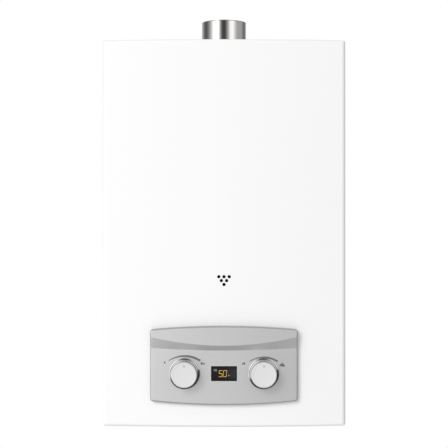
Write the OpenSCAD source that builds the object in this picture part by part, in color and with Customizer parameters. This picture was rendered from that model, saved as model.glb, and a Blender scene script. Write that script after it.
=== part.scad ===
// Wall-hung gas water heater with a fan flue, seen from the front along +Y.
// The wall is the plane y = 0, +Z is up, and the origin is the centre of the four wall holes.
// A depth is a distance from the wall, and a height is measured from the casing's bottom edge.

/* [Casing] */
// Width across the side walls
body_w = 315; // [312:1:420]
// Height from the bottom edge to the top edge
body_h = 500; // [496:1:640]
// Depth from the wall to the side edges of the front
body_d = 150; // [149:1:220]
// How far the middle of the front stands proud of its side edges
crown = 9; // [4:0.5:16]
// Thickness of the casing's sheet steel
sheet = 1; // [0.7:0.1:1.3]
// Radius of the rolled edges between the front and the sides
roll_r = 6; // [4:0.5:10]
// Radius of the top and bottom edges
rim_r = 4; // [2.5:0.5:6]
// Width of the cover's returns around the open top and bottom
return_w = 16; // [10:1:22]
// Gap between the back edge of the cover and the wall
wall_gap = 2; // [1.5:0.5:4]
// Depth of the back plate's folded flanges
flange_d = 16; // [12:1:20]

/* [Wall fixing] */
// Spacing of the wall holes across
wall_hole_w = 160; // [120:1:220]
// Diameter of the wall holes
wall_hole_d = 8; // [6:0.5:10]
// Height of the fixing ears past the casing
ear = 20; // [18:1:24]
// Distance from the casing's edge to the wall holes
ear_hole = 11; // [9:0.5:12]

/* [Flue] */
// Outer diameter of the flue spigot
flue_d = 60; // [58:0.5:64]
// Wall of the flue spigot
flue_wall = 1; // [0.8:0.1:1.5]
// Rise of the spigot over the casing
flue_rise = 35; // [20:1:60]
// Distance from the wall to the flue's axis
flue_depth = 72; // [70:0.5:76]

/* [Front panel] */
// Width of the control panel
panel_w = 189.5; // [186:0.5:210]
// Height of the control panel at its middle
panel_h = 101; // [96:0.5:112]
// Height of the panel's centre
panel_up = 80.2; // [78:0.1:84]
// Rise of the panel's top and bottom arcs
panel_bow = 4.6; // [2:0.1:7]
// How far the panel stands proud of the casing
panel_proud = 7; // [6:0.5:9]
// Radius of the panel's front edges
panel_round = 2.5; // [1:0.25:3]
// How far the brow above the knobs stands proud of the panel
brow_proud = 3; // [1:0.25:4]
// Wall of the panel's moulding
panel_wall = 2.5; // [2:0.25:3]
// Sight holes' diameter
sight_d = 4.3; // [3:0.1:5]
// Sight holes' spacing across
sight_pitch = 6.7; // [6:0.1:8]
// Sight holes' spacing down
sight_drop = 5; // [4.5:0.1:6]
// Height of the sight holes' top row
sight_up = 193.8; // [192:0.2:197]

/* [Knobs and display] */
// Distance of each knob's axis from the middle
knob_x = 50.7; // [48:0.1:54]
// Height of the knobs' axes
knob_up = 70; // [69:0.1:71]
// Diameter of a knob's base
knob_base_d = 36; // [32:0.5:37]
// Diameter of a knob's face
knob_face_d = 33; // [28:0.5:34]
// Length of a knob
knob_len = 17; // [14:0.5:22]
// Diameter of a spindle
spindle_d = 6; // [5:0.1:7]
// Outer diameter of the ring round a knob
bezel_d = 39.4; // [38.4:0.1:41]
// Wall of the ring round a knob
bezel_wall = 1.3; // [0.8:0.1:1.6]
// How far the ring stands proud of the panel
bezel_proud = 3; // [2:0.25:4]
// Width of the display's window
lens_w = 33; // [28:0.5:36]
// Height of the display's window
lens_h = 19; // [16:0.5:21]

/* [Connections] */
// Outer diameter of the half-inch pipe threads
thread_d = 20.96; // [19:0.01:22]
// How far the threaded stubs stand below the casing
stub_len = 14; // [10:0.5:18]
// Distance from the wall to the stubs and the valves
valve_depth = 60; // [58:0.5:62]
// Distance of the hot outlet from the side of the casing
hot_inset = 39.5; // [37.5:0.5:41.5]
// Diameter of the copper water pipes
pipe_d = 12; // [10:0.5:12]
// Wall of the copper water pipes
pipe_wall = 1; // [0.6:0.1:1.2]

/* [Burner and exchanger] */
// Distance from the wall to the back of the burner, the chamber and the exchanger
core_back = 24; // [24:0.5:26]
// Space left in front of them for the gas rail and the water pipe
core_clear = 30; // [28:1:32]
// Height of the burner tray's foot
burner_up = 128; // [126:1:130]
// Height of the burner tray
burner_h = 54; // [52:1:56]
// Number of burner bars
burner_bars_n = 9; // [6:1:9]
// Height of the combustion chamber
chamber_h = 130; // [128:1:136]
// Height of the finned block
fins_h = 36; // [34:1:40]
// Spacing of the fins
fin_pitch = 5; // [4:0.5:10]
// Thickness of a fin
fin_t = 0.6; // [0.4:0.1:0.8]
// Spacing of the pipes through the fins
pass_pitch = 18; // [17:0.5:18]

/* [Fan] */
// Diameter of the fan wheel
wheel_d = 72; // [64:1:74]
// Width of the fan wheel
wheel_w = 30; // [22:1:32]
// Number of blades
blades_n = 28; // [16:1:36]
// Width of the scroll, front to back
scroll_w = 44; // [42:0.5:46]
// Height of the fan's axis
fan_up = 432; // [430:1:436]
// Diameter of the motor
motor_d = 60; // [50:1:60]
// Length of the motor
motor_len = 34; // [26:1:36]

/* [Hidden] */
$fn = 48;

// Fineness of the casing's and the panel's very large arc
crown_fn = 720;
// Overrun of every cut
over = 1;
// Clearance between sheet parts that slide into each other
fit = 0.3;
// Gap left between faces that seat on each other
seat = 0.1;
// Radial clearance of a turning or sliding shaft in its bore
running = 0.03;
// How far a rounding stands outside the face it meets, so that the two meet at a clear angle
meet = 0.05;
// Overrun of the very large arc, in degrees
arc_over = 1;
// Number of chords in a small rounded edge
edge_n = 5;

top = body_h / 2;
base = -body_h / 2;
inner_w = body_w - 2 * sheet;
crown_r = (pow(body_w / 2, 2) + pow(crown, 2)) / (2 * crown);
crown_y = crown_r - body_d - crown;
front = body_d + crown;

// Small fixings
screw_d = 4;
screw_head_d = 7.4;
screw_head_h = 2.2;
screw_len = 9;
screw_inset = 45;
screw_depth = 10;

// Thin sheet of the copper and steel parts inside the casing
thin = 1;
corner_r = 8;

// The core, which is the burner, the chamber and the exchanger, leaves room for a box at its side
igniter_size = [38, 40, 88];
side_gap = 3.5;
core_side = side_gap + igniter_size.x + corner_r + pipe_d;
core_w = inner_w - 2 * core_side;
core_d = body_d - core_back - core_clear;
core_mid = core_back + core_d / 2;
core_front = core_back + core_d;
chamber_up = burner_up + burner_h;
fins_up = chamber_up + chamber_h;
hood_up = fins_up + fins_h;

// Wall fixing
ear_side = 20;
ear_w = wall_hole_w + 2 * ear_side;
keyhole_d = 12;
keyhole_slot = 6;

// Air slots in the bottom plate
slot_w = 3.5;
slot_len = 30;
slot_pitch = 9;
slot_margin = 14;
lip_h = 10;

// Flue flange and seal
flue_flange_w = 84;
flue_flange_t = 1.5;
seal_t = 2;

// Scroll of the fan
scroll_wall = 1.2;
scroll_gap = 4;
scroll_growth = 18;
scroll_min = wheel_d / 2 + scroll_gap;
scroll_max = scroll_min + scroll_growth;
scroll_start = 60;
scroll_steps = 30;
duct_w = 42;
scroll_back = flue_depth - scroll_w / 2;
scroll_front = flue_depth + scroll_w / 2;
fan_x = duct_w / 2 - scroll_max;
inlet_d = 50;
duct_flange_w = 56;
duct_flange_t = 2;
hub_d = 14;
shaft_d = 6;
blade_t = 0.8;
blade_depth = 9;
blade_turn = 40;
blade_steps = 4;
motor_plate_t = 1.5;
motor_boss_d = 20;
motor_boss_len = 5;

// Exhaust hood
hood_h = 24;
riser_w = 78;
riser_front = scroll_back - seat;
riser_top = fan_up + scroll_min;

// Burner bars and tray
bar_pitch = core_w / (burner_bars_n + 0.5);
bar_w = 9;
bar_neck = 4;
bar_h = 50;
bar_inset = 6;
mouth_d = 13;
mouth_up = 10;
port_n = 12;
port_w = 1;
port_h = 5;

// Gas rail and nozzles
rail_w = 12;
rail_h = 18;
rail_gap = 6;
nozzle_d = 7;
nozzle_bore = 1.2;
gas_pipe_d = 14;

// Valves
diaphragm_d = 54;
stem_d = 32;
nose_d = 18;
nose_len = 10;
valve_back = valve_depth - diaphragm_d / 2 - thin;
barrel_len = 34;
valve_front = valve_depth + barrel_len;
drain_up = knob_up - diaphragm_d / 2 + thin;
diaphragm_w = 34;
cover_t = 8;
boss_d = 26;
link_boss_d = 16;
link_boss_len = 9;
gas_body_w = 46;
gas_body_h = 44;
port_boss_up = 30;
water_bore = 14;
rod_d = 5;
rod_travel = 3;
collar_d = 12;
collar_t = 3;
cam_d = 7;
cam_len = 4;
coil_d = 26;
coil_h = 34;
coil_x = 44;
plunger_d = 8;
plunger_travel = 3;
spring_d = 9;
spring_wire = 1;
spring_turns = 5;

// Water pipe round the chamber
wrap_rise = 42;
wrap_up = chamber_up + wrap_rise;
wrap_pitch = 36;
wrap_turns = 3;
pipe_seat = 0.3;
pass_n = 2 * floor((core_d - 2 * thin - pass_pitch) / pass_pitch / 2) + 1;
elbow_r = 12;
hose_bend_r = 14;
hot_turn_up = 60;
pass_up = fins_up + fins_h / 2;
pass_end = core_w / 2 + pass_pitch / 2 + thin;

// Threaded stubs: the thread ends in a plain relief before the grommet
thread_gap = 2;
thread_relief = 0.8;
shank_d = thread_d - 2 * thread_relief;
hot_x = body_w / 2 - hot_inset;
nut_d = 30;
nut_h = 8;
grommet_d = 30;
grommet_t = 2;
filter_d = 12;
filter_len = 20;
stub_bore = 15;
gland_inset = 45.5;
gland_x = body_w / 2 - gland_inset;
gland_depth = 38;
gland_bore = 7;
drain_depth = valve_depth + (grommet_d + link_boss_d) / 2 + thin;

// Panel opening and display
lap_side = 8.75;
lap_foot = 9.3;
opening_up = knob_up;
opening_w = panel_w - 2 * lap_side;
opening_h = 2 * (opening_up - panel_up + panel_h / 2 - lap_foot);
corner_fit = 3;
panel_hole = 12;
display_w = 60;
display_h = 34;
board_t = 1.6;
module_w = 30;
module_h = 16;
lens_t = 3;

// Brow of the panel: heights of its crest and foot over the panel's middle, and the grid of the face
crest_mid = 24.9;
crest_end = 36.4;
foot_mid = 19.2;
foot_end = 22.5;
panel_cols_n = 10;
edge_steps = [for (i = [0:3]) panel_round * (1 - cos(30 * i))];

// Place of the front skin, or of a face standing proud of it, at a distance across
function skin_y(x, proud = 0) = crown_y - sqrt(pow(crown_r + proud, 2) - pow(x, 2));

// Knobs
knob_gap = 0.6;
knob_bevel = 1.6;
knob_skirt = 2.2;
knob_dish = 0.5;
knob_floor = -skin_y(knob_x + bezel_d / 2 + seat, panel_proud);
knob_seat = -skin_y(knob_x, panel_proud) + knob_gap;
mark_d = 2.4;

// Microswitch and its lever
switch_len = 20;
switch_w = 8;
switch_h = 10;
lever_t = 0.8;
lever_gap = 5;
pin_d = 2;

// Electric parts
igniter_up = 184;
lead_drop = 18;
power_size = [44, 44, 92];
power_gap = 16;
lead_d = 4;
electrode_d = 6;
electrode_x = bar_pitch * (2 + burner_bars_n % 2 / 2);
electrode_drop = 7;
electrode_up = chamber_up - electrode_drop;
pressure_d = 46;
pressure_inset = 45.5;
pressure_x = body_w / 2 - pressure_inset;
pressure_up = 436;
pressure_t = 20;
hose_d = 7;
hose_out = 12;
cutout_d = 16;
cutout_x = core_w / 2 - 2 * cutout_d;

// Vectors and frames
function unit(v) = v / norm(v);
function frame_of(w) =
    let (a = abs(w.z) < 0.9 ? [0, 0, 1] : [1, 0, 0], u = unit(cross(a, w))) [u, cross(w, u), w];

// Points of an arc from angle a0 to a1 in n chords
function arc(c, r, a0, a1, n = edge_n) =
    [for (i = [0:n]) let (a = a0 + (a1 - a0) * i / n) c + r * [cos(a), sin(a)]];

// Rounded rectangle centred on the origin
function plate_outline(w, h, r, n = edge_n) = concat(
    arc([w / 2 - r, h / 2 - r], r, 0, 90, n), arc([r - w / 2, h / 2 - r], r, 90, 180, n),
    arc([r - w / 2, r - h / 2], r, 180, 270, n), arc([w / 2 - r, r - h / 2], r, 270, 360, n));

// Casing outline seen from above, drawn in by an inset; the crown is left open for the cover's form
function casing_outline(inset, back, crowned = true) =
    let (hw = body_w / 2 - inset, r = max(roll_r - inset, roll_r / 2), cr = crown_r - inset,
        cx = hw - r, cy = crown_y - sqrt(pow(cr - r, 2) - pow(cx, 2)),
        turn = atan2(cy - crown_y, cx), out = crowned ? 0 : meet,
        corner = arc([cx, cy - out], r, 0, turn),
        middle = crowned ? arc([0, crown_y], cr, turn, -180 - turn, 4 * edge_n)
            : [[cx, crown_y - cr - over], [-cx, crown_y - cr - over]])
    concat([[hw, back]], corner, middle,
        arc([-cx, cy - out], r, -180 - turn, -180), [[-hw, back]]);

// Section of the crowned front with rounded top and bottom edges, distance from the crown's axis across
function crown_section(inset) =
    let (h = body_h / 2 - inset, r = rim_r - inset / 2, far = crown_r - inset, near = crown_y - over)
    concat([[near, -h]], arc([far - r, r - h], r, -90, 0), arc([far - r, h - r], r, 0, 90), [[near, h]]);

// Closed skin between a front grid and a back grid of points, each a list of columns
module skin(front_grid, back_grid) {
    cols = len(front_grid);
    rows = len(front_grid[0]);
    all = cols * rows;
    points = concat([for (c = front_grid) each c], [for (c = back_grid) each c]);
    quads = concat(
        [for (i = [0:cols - 2], j = [0:rows - 2])
            let (a = i * rows + j) [a, a + 1, a + rows + 1, a + rows]],
        [for (i = [0:cols - 2], j = [0:rows - 2])
            let (a = all + i * rows + j) [a, a + rows, a + rows + 1, a + 1]],
        [for (i = [0:cols - 2]) let (a = i * rows) [a, a + rows, all + a + rows, all + a]],
        [for (i = [0:cols - 2])
            let (a = i * rows + rows - 1) [a + rows, a, all + a, all + a + rows]],
        [for (j = [0:rows - 2]) [j + 1, j, all + j, all + j + 1]],
        [for (j = [0:rows - 2])
            let (a = (cols - 1) * rows + j) [a, a + 1, all + a + 1, all + a]]);
    polyhedron(points, [for (q = quads) each [[q[0], q[1], q[2]], [q[0], q[2], q[3]]]]);
}

// Turn a shape so that its own +Z points to the front, and set its foot at a place
module to_front(x, depth, z) {
    translate([x, -depth, z]) rotate([90, 0, 0]) children();
}

// Turn a shape so that its own +Z points to the right
module to_right(x, depth, z) {
    translate([x, -depth, z]) rotate([0, 90, 0]) children();
}

// Extrude an outline drawn as seen from the front, between two depths
module front_slab(from, to) {
    translate([0, -from, 0]) rotate([90, 0, 0]) linear_extrude(to - from) children();
}

// Block between two corners, given across, in depth and in height
module block(x, depth, z) {
    translate([x[0], -depth[1], z[0]])
        cube([x[1] - x[0], depth[1] - depth[0], z[1] - z[0]]);
}

module place(origin, u, v, w) {
    multmatrix([[u.x, v.x, w.x, origin.x], [u.y, v.y, w.y, origin.y],
        [u.z, v.z, w.z, origin.z], [0, 0, 0, 1]])
        children();
}

module bar(a, b, d) {
    if (norm(b - a) > seat) {
        f = frame_of(unit(b - a));
        place(a, f[0], f[1], f[2]) cylinder(d = d, h = norm(b - a));
    }
}

// Round bar along a path with bent corners; the ends can be run past for a bore
module pipe_run(p, r, d, past = 0) {
    n = len(p) - 1;
    dirs = [for (i = [0:n - 1]) unit(p[i + 1] - p[i])];
    turn = [for (i = [0:n]) i == 0 || i == n ? 0 : acos(dirs[i - 1] * dirs[i])];
    trim = [for (i = [0:n]) i == 0 || i == n ? -past : r * tan(turn[i] / 2)];
    for (i = [0:n - 1])
        bar(p[i] + dirs[i] * trim[i], p[i + 1] - dirs[i] * trim[i + 1], d);
    for (i = [1:1:n - 1]) {
        inward = unit(dirs[i] - (dirs[i] * dirs[i - 1]) * dirs[i - 1]);
        centre = p[i] - dirs[i - 1] * trim[i] + inward * r;
        place(centre, -inward, dirs[i - 1], cross(-inward, dirs[i - 1]))
            rotate_extrude(angle = turn[i]) translate([r, 0]) circle(d = d);
    }
}

module pipe(p, r, d, wall) {
    difference() {
        pipe_run(p, r, d);
        pipe_run(p, r, d - 2 * wall, over);
    }
}

// Solid between two distances from the crown's axis, over the casing's height
module crown_band(from, to) {
    half = atan(body_w / 2 / (crown_y + body_d)) + arc_over;
    translate([0, crown_y, base]) rotate([0, 0, -90 - half])
        rotate_extrude(angle = 2 * half, $fn = crown_fn) translate([from, 0]) square([to - from, body_h]);
}

// Casing form: crowned front, rolled side edges and rounded corners, drawn in by an inset
module casing_form(inset, back) {
    half = atan(body_w / 2 / crown_y) + arc_over;
    w = body_w - 2 * (inset - meet);
    h = body_h - 2 * (inset - meet);
    intersection() {
        translate([0, crown_y, 0]) rotate([0, 0, -90 - half])
            rotate_extrude(angle = 2 * half, $fn = crown_fn) polygon(crown_section(inset));
        translate([0, 0, base]) linear_extrude(body_h) polygon(casing_outline(inset, back, false));
        front_slab(-back - over, front + over) polygon(plate_outline(w, h, rim_r - inset / 2));
    }
}

module sight_holes(d, from, to) {
    for (row = [0:2], i = [0:2 - row])
        to_front((i - (2 - row) / 2) * sight_pitch, from, base + sight_up - row * sight_drop)
            cylinder(d = d, h = to - from);
}

module panel_screw_places() {
    for (x = [-1, 1], z = [-1, 1])
        translate([x * (opening_w / 2 + screw_d), 0, base + opening_up + z * (opening_h / 2 - screw_d)])
            children();
}

module side_screw_places() {
    for (x = [-1, 1], z = [base + screw_inset, top - screw_inset])
        translate([x * body_w / 2, -screw_depth, z]) rotate([0, x * 90, 0]) children();
}

module front_cover() {
    color("white") difference() {
        casing_form(0, -wall_gap);
        casing_form(sheet, over);
        translate([0, 0, base - over]) linear_extrude(body_h + 2 * over)
            polygon(casing_outline(return_w, over));
        front_slab(body_d / 2, front + over)
            translate([0, base + opening_up]) polygon(plate_outline(opening_w, opening_h, corner_r));
        sight_holes(sight_d, body_d, front + over);
        panel_screw_places() to_front(0, body_d / 2, 0) cylinder(d = screw_d + fit, h = body_d);
        side_screw_places() translate([0, 0, -over - sheet])
            cylinder(d = screw_d + fit, h = sheet + 2 * over);
    }
}

module ear_outline() {
    h = body_h + 2 * ear;
    difference() {
        polygon(plate_outline(ear_w, h, corner_r));
        for (x = [-1, 1], z = [-1, 1])
            translate([x * wall_hole_w / 2, z * (top + ear_hole)]) circle(d = wall_hole_d);
        translate([0, top + ear_hole / 2]) circle(d = keyhole_d);
        translate([-keyhole_slot / 2, top + ear_hole / 2]) square([keyhole_slot, ear_hole]);
    }
}

module back_plate() {
    w = inner_w - 2 * fit;
    h = body_h - 4 * sheet;
    color("silver") {
        difference() {
            union() {
                front_slab(0, flange_d) polygon(plate_outline(w, h, rim_r));
                front_slab(0, sheet) ear_outline();
            }
            front_slab(sheet, flange_d + over)
                polygon(plate_outline(w - 2 * sheet, h - 2 * sheet, rim_r - sheet));
            side_screw_places() translate([0, 0, -screw_len]) cylinder(d = screw_d - fit, h = screw_len);
        }
    }
}

// Plate that closes the top or the bottom, with a folded lip at the front and sides
module end_plate() {
    inset = rim_r + sheet;
    linear_extrude(sheet) polygon(casing_outline(inset, -sheet));
    translate([0, 0, -lip_h]) linear_extrude(lip_h + sheet) difference() {
        polygon(casing_outline(inset, -flange_d - over));
        polygon(casing_outline(inset + sheet, -flange_d));
    }
}

module top_plate() {
    color("silver") difference() {
        translate([0, 0, top - 2 * sheet]) end_plate();
        translate([0, -flue_depth, top - 2 * sheet - over])
            cylinder(d = flue_d - 2 * flue_wall, h = sheet + 2 * over);
        flue_screw_places() translate([0, 0, -2 * over]) cylinder(d = screw_d - fit, h = 4 * over);
    }
}

module flue_screw_places() {
    for (x = [-1, 1], y = [-1, 1])
        translate([x * (flue_flange_w / 2 - screw_head_d), y * (flue_flange_w / 2 - screw_head_d)
            - flue_depth, top - sheet]) children();
}

module bottom_plate() {
    slots = floor((inner_w - 2 * slot_margin) / slot_pitch / 2);
    color("silver") difference() {
        translate([0, 0, base + 2 * sheet]) mirror([0, 0, 1]) end_plate();
        for (x = [-hot_x, -knob_x, knob_x])
            translate([x, -valve_depth, base]) cylinder(d = grommet_d - 4 * fit, h = 3 * sheet);
        translate([gland_x, -gland_depth, base]) cylinder(d = thread_d, h = 3 * sheet);
        translate([-knob_x, -drain_depth, base]) cylinder(d = link_boss_d, h = 3 * sheet);
        for (i = [-slots + 1:slots - 1])
            block([i * slot_pitch - slot_w / 2, i * slot_pitch + slot_w / 2],
                [body_d - return_w - slot_len - corner_r, body_d - return_w - corner_r],
                [base, base + 3 * sheet]);
    }
}

module pan_screw(length) {
    translate([0, 0, -length]) cylinder(d = screw_d - 2 * fit, h = length + thin / 2);
    cylinder(d = screw_head_d, h = screw_head_h * 0.6);
    translate([0, 0, screw_head_h * 0.6])
        cylinder(d1 = screw_head_d, d2 = screw_head_d * 0.7, h = screw_head_h * 0.4);
}

module cover_screws() {
    color("gainsboro") {
        side_screw_places() pan_screw(screw_len);
        flue_screw_places() translate([0, 0, seal_t + flue_flange_t]) pan_screw(screw_len);
    }
}

module flue_collar() {
    z = top - sheet + seal_t;
    color("silver") difference() {
        union() {
            translate([0, -flue_depth, z]) {
                linear_extrude(flue_flange_t) polygon(plate_outline(flue_flange_w, flue_flange_w, corner_r));
                cylinder(d = flue_d, h = top + flue_rise - z);
            }
        }
        translate([0, -flue_depth, z - over])
            cylinder(d = flue_d - 2 * flue_wall, h = flue_rise + 4 * over);
        flue_screw_places() cylinder(d = screw_d + fit, h = seal_t + 2 * flue_flange_t);
    }
}

module flue_seal() {
    color("dimgray") difference() {
        translate([0, -flue_depth, top - sheet])
            linear_extrude(seal_t) polygon(plate_outline(flue_flange_w, flue_flange_w, corner_r));
        translate([0, -flue_depth, top - sheet - over])
            cylinder(d = flue_d - 2 * flue_wall, h = seal_t + 2 * over);
        flue_screw_places() translate([0, 0, -over]) cylinder(d = screw_d + fit, h = seal_t + 2 * over);
    }
}

// Scroll seen from the front: it widens from the tongue round to the rising duct
function scroll_outline(grow, duct_top) =
    let (c = [fan_x, base + fan_up], span = 360 - scroll_start)
    concat([for (i = [0:scroll_steps])
            let (a = scroll_start + span * i / scroll_steps,
                r = scroll_min + (scroll_max - scroll_min) * i / scroll_steps + grow)
            c + r * [cos(a), sin(a)]],
        [[c.x + scroll_max + grow, duct_top], [c.x + scroll_max - duct_w - grow, duct_top]]);

module fan_housing() {
    duct_top = top - 2 * sheet;
    color("lightgray") difference() {
        union() {
            front_slab(scroll_back, scroll_front) polygon(scroll_outline(scroll_wall, duct_top));
            translate([0, -flue_depth, duct_top - duct_flange_t])
                linear_extrude(duct_flange_t) polygon(plate_outline(duct_flange_w, duct_flange_w, thin));
            to_right(fan_x + scroll_max, flue_depth, base + pressure_up)
                cylinder(d = hose_d - 2 * thin - 2 * seat, h = hose_out);
        }
        front_slab(scroll_back + scroll_wall, scroll_front - scroll_wall)
            polygon(scroll_outline(0, duct_top + over));
        to_front(fan_x, scroll_back - over, base + fan_up) cylinder(d = inlet_d, h = scroll_wall + 2 * over);
        to_front(fan_x, scroll_front - scroll_wall - over, base + fan_up)
            cylinder(d = motor_boss_d + 2 * fit, h = scroll_wall + 2 * over);
        to_right(fan_x + scroll_max - over, flue_depth, base + pressure_up)
            cylinder(d = hose_d - 4 * thin, h = hose_out + 2 * over);
    }
}

module fan_motor() {
    color("dimgray") to_front(fan_x, scroll_front, base + fan_up) difference() {
        union() {
            cylinder(d = motor_d * 0.96, h = motor_plate_t);
            translate([0, 0, motor_plate_t]) cylinder(d = motor_d * 0.86, h = motor_len - motor_plate_t);
            translate([0, 0, motor_len / 4]) cylinder(d = motor_d, h = motor_len / 2);
            translate([0, 0, -motor_boss_len]) cylinder(d = motor_boss_d, h = motor_boss_len);
            for (i = [0:3]) rotate([0, 0, 45 + 90 * i]) translate([motor_d * 0.44, 0, 0])
                cylinder(d = screw_head_d, h = motor_len);
        }
        translate([0, 0, -motor_boss_len - over])
            cylinder(r = shaft_d / 2 + running, h = motor_len + motor_boss_len + 2 * over);
    }
}

module fan_shaft() {
    color("silver") to_front(fan_x, scroll_back + 2 * scroll_wall, base + fan_up)
        cylinder(d = shaft_d, h = scroll_w + motor_len);
}

function blade_outline(r_out, depth, t) =
    let (r_in = r_out - depth)
    concat([for (i = [0:blade_steps])
            let (f = i / blade_steps, r = r_in + depth * f, a = blade_turn * f * f) r * [cos(a), sin(a)]],
        [for (i = [blade_steps:-1:0])
            let (f = i / blade_steps, r = r_in + depth * f, a = blade_turn * f * f + t / r * 180 / PI)
            r * [cos(a), sin(a)]]);

module fan_wheel() {
    back = scroll_back + 3 * scroll_wall + motor_boss_len / 2;
    color("gainsboro") to_front(fan_x, back, base + fan_up) difference() {
        union() {
            for (i = [0:blades_n - 1]) rotate([0, 0, 360 / blades_n * i]) linear_extrude(wheel_w)
                polygon(blade_outline(wheel_d / 2 - thin / 2, blade_depth, blade_t));
            difference() {
                cylinder(d = wheel_d, h = 2 * thin);
                translate([0, 0, -over])
                    cylinder(d = wheel_d - 2 * blade_depth + thin, h = 2 * thin + 2 * over);
            }
            translate([0, 0, wheel_w - 2 * thin]) cylinder(d = wheel_d, h = 2 * thin);
            translate([0, 0, wheel_w / 2]) cylinder(d = hub_d, h = wheel_w / 2);
        }
        translate([0, 0, -over]) cylinder(d = shaft_d + seat / 5, h = wheel_w + 2 * over);
    }
}

function hood_side(inset) =
    let (w = core_w / 2 - inset, z = base + hood_up, n = riser_w / 2 - inset)
    [[-w, z - over * (inset > 0 ? 1 : 0)], [w, z - over * (inset > 0 ? 1 : 0)],
        [w, z + hood_h / 4], [n + hood_h, z + hood_h - inset], [fan_x - n, z + hood_h - inset],
        [-w, z + hood_h / 4]];

module exhaust_hood() {
    z = base + hood_up;
    color("silver") difference() {
        union() {
            front_slab(core_back, core_front) polygon(hood_side(0));
            block([fan_x - riser_w / 2, fan_x + riser_w / 2], [core_back, riser_front],
                [z, base + riser_top]);
        }
        front_slab(core_back + thin, core_front - thin) polygon(hood_side(thin));
        block([fan_x - riser_w / 2 + thin, fan_x + riser_w / 2 - thin],
            [core_back + thin, riser_front - thin], [z, base + riser_top - thin]);
        to_front(fan_x, riser_front - thin - over, base + fan_up)
            cylinder(d = inlet_d, h = thin + 2 * over);
    }
}

function pass_depth(i) = core_mid + (i - (pass_n - 1) / 2) * pass_pitch;

module pass_holes(from, to) {
    for (i = [0:pass_n - 1]) to_right(from, pass_depth(i), base + pass_up)
        cylinder(r = pipe_d / 2 + seat / 2, h = to - from);
}

module exchanger_case() {
    z = base + fins_up;
    color("peru") difference() {
        block([-core_w / 2, core_w / 2], [core_back, core_front], [z, z + fins_h]);
        block([-core_w / 2 + thin, core_w / 2 - thin], [core_back + thin, core_front - thin],
            [z - over, z + fins_h + over]);
        pass_holes(-core_w / 2 - over, core_w / 2 + over);
    }
}

module exchanger_fins() {
    z = base + fins_up;
    half = floor((core_w / 2 - 2 * thin) / fin_pitch);
    color("peru") difference() {
        for (i = [-half:half])
            block([i * fin_pitch - fin_t / 2, i * fin_pitch + fin_t / 2],
                [core_back + thin + seat, core_front - thin - seat], [z + thin, z + fins_h - thin]);
        pass_holes(-core_w / 2, core_w / 2);
    }
}

// One pipe through the fins in five passes, its ends at the right back and the left front
module exchanger_pipes() {
    z = base + pass_up;
    path = [for (i = [0:pass_n - 1], k = [0, 1])
        let (side = (i + k) % 2 == 0 ? 1 : -1) [side * pass_end, -pass_depth(i), z]];
    color("peru") pipe(path, pass_pitch / 2, pipe_d, pipe_wall);
}

module combustion_chamber() {
    z = base + chamber_up;
    color("peru") difference() {
        translate([0, -core_mid, z]) linear_extrude(chamber_h)
            polygon(plate_outline(core_w, core_d, corner_r));
        translate([0, -core_mid, z - over]) linear_extrude(chamber_h + 2 * over)
            polygon(plate_outline(core_w - 2 * thin, core_d - 2 * thin, corner_r - thin));
        to_front(0, core_front - thin - over, base + sight_up - sight_drop / 2)
            cylinder(d = 4 * sight_d, h = thin + 2 * over);
    }
}

// Cold pipe: from the water valve up the left side, round the chamber, and up to the fins
module wrap_pipe() {
    off = pipe_d / 2 + pipe_seat;
    turn_r = corner_r + off;
    x = core_w / 2 + off;
    near = -core_back + off;
    far = -core_front - off;
    rise = near - 2 * turn_r;
    z = base + wrap_up;
    pass = base + pass_up;
    last = z + (wrap_turns - 1) * wrap_pitch;
    end_x = pass_end + turn_r;
    loops = [for (i = [0:1:wrap_turns - 2]) let (h = z + i * wrap_pitch)
        each [[-x, far, h], [x, far, h], [x, near, h], [-x, near, h], [-x, rise, h],
            [-x, rise, h + wrap_pitch]]];
    path = concat(
        [[-knob_x, -valve_depth, base + knob_up + port_boss_up],
            [-knob_x, -valve_depth, base + burner_up - pipe_d],
            [-x, -valve_depth, base + burner_up - pipe_d], [-x, -valve_depth, z]],
        loops,
        [[-x, far, last], [end_x, far, last], [end_x, -pass_depth(0), last],
            [end_x, -pass_depth(0), pass], [pass_end, -pass_depth(0), pass]]);
    color("peru") pipe(path, turn_r, pipe_d, pipe_wall);
}

module sight_glass() {
    color("lightblue") to_front(0, core_front + seat, base + sight_up - sight_drop / 2)
        cylinder(d = 5 * sight_d, h = 1.5 * thin);
}

// Section of one burner bar: venturi below, neck, and a head that carries the flame ports
function bar_section() =
    let (n = bar_neck / 2, w = bar_w / 2, h = bar_h)
    concat([[-n, mouth_up], [-n, h * 0.5], [-w, h * 0.62], [-w, h - w]],
        [[-w / 2, h], [w / 2, h]], [[w, h - w], [w, h * 0.62], [n, h * 0.5], [n, mouth_up]]);

module burner_bars() {
    first = -(burner_bars_n - 1) / 2;
    z = base + burner_up + thin;
    color("slategray") difference() {
        for (i = [0:burner_bars_n - 1]) translate([(first + i) * bar_pitch, 0, 0]) {
            front_slab(core_back + bar_inset, core_front - bar_inset)
                translate([0, z]) polygon(bar_section());
            to_front(0, core_back + 4 * bar_inset, z + mouth_up)
                cylinder(d = mouth_d - 3 * thin, h = core_d - 4 * bar_inset);
            to_front(0, core_front - 2 * bar_inset, z + mouth_up)
                cylinder(d1 = mouth_d - 3 * thin, d2 = mouth_d, h = 2 * bar_inset);
        }
        for (i = [0:burner_bars_n - 1])
            to_front((first + i) * bar_pitch, core_back + 6 * bar_inset, z + mouth_up)
            cylinder(d = mouth_d - 5 * thin, h = core_d);
        for (k = [1:port_n])
            let (d = core_back + bar_inset + (core_d - 2 * bar_inset) * k / (port_n + 1))
            block([-core_w / 2, core_w / 2], [d - port_w / 2, d + port_w / 2],
                [z + bar_h - port_h, z + bar_h + over]);
    }
}

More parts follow.
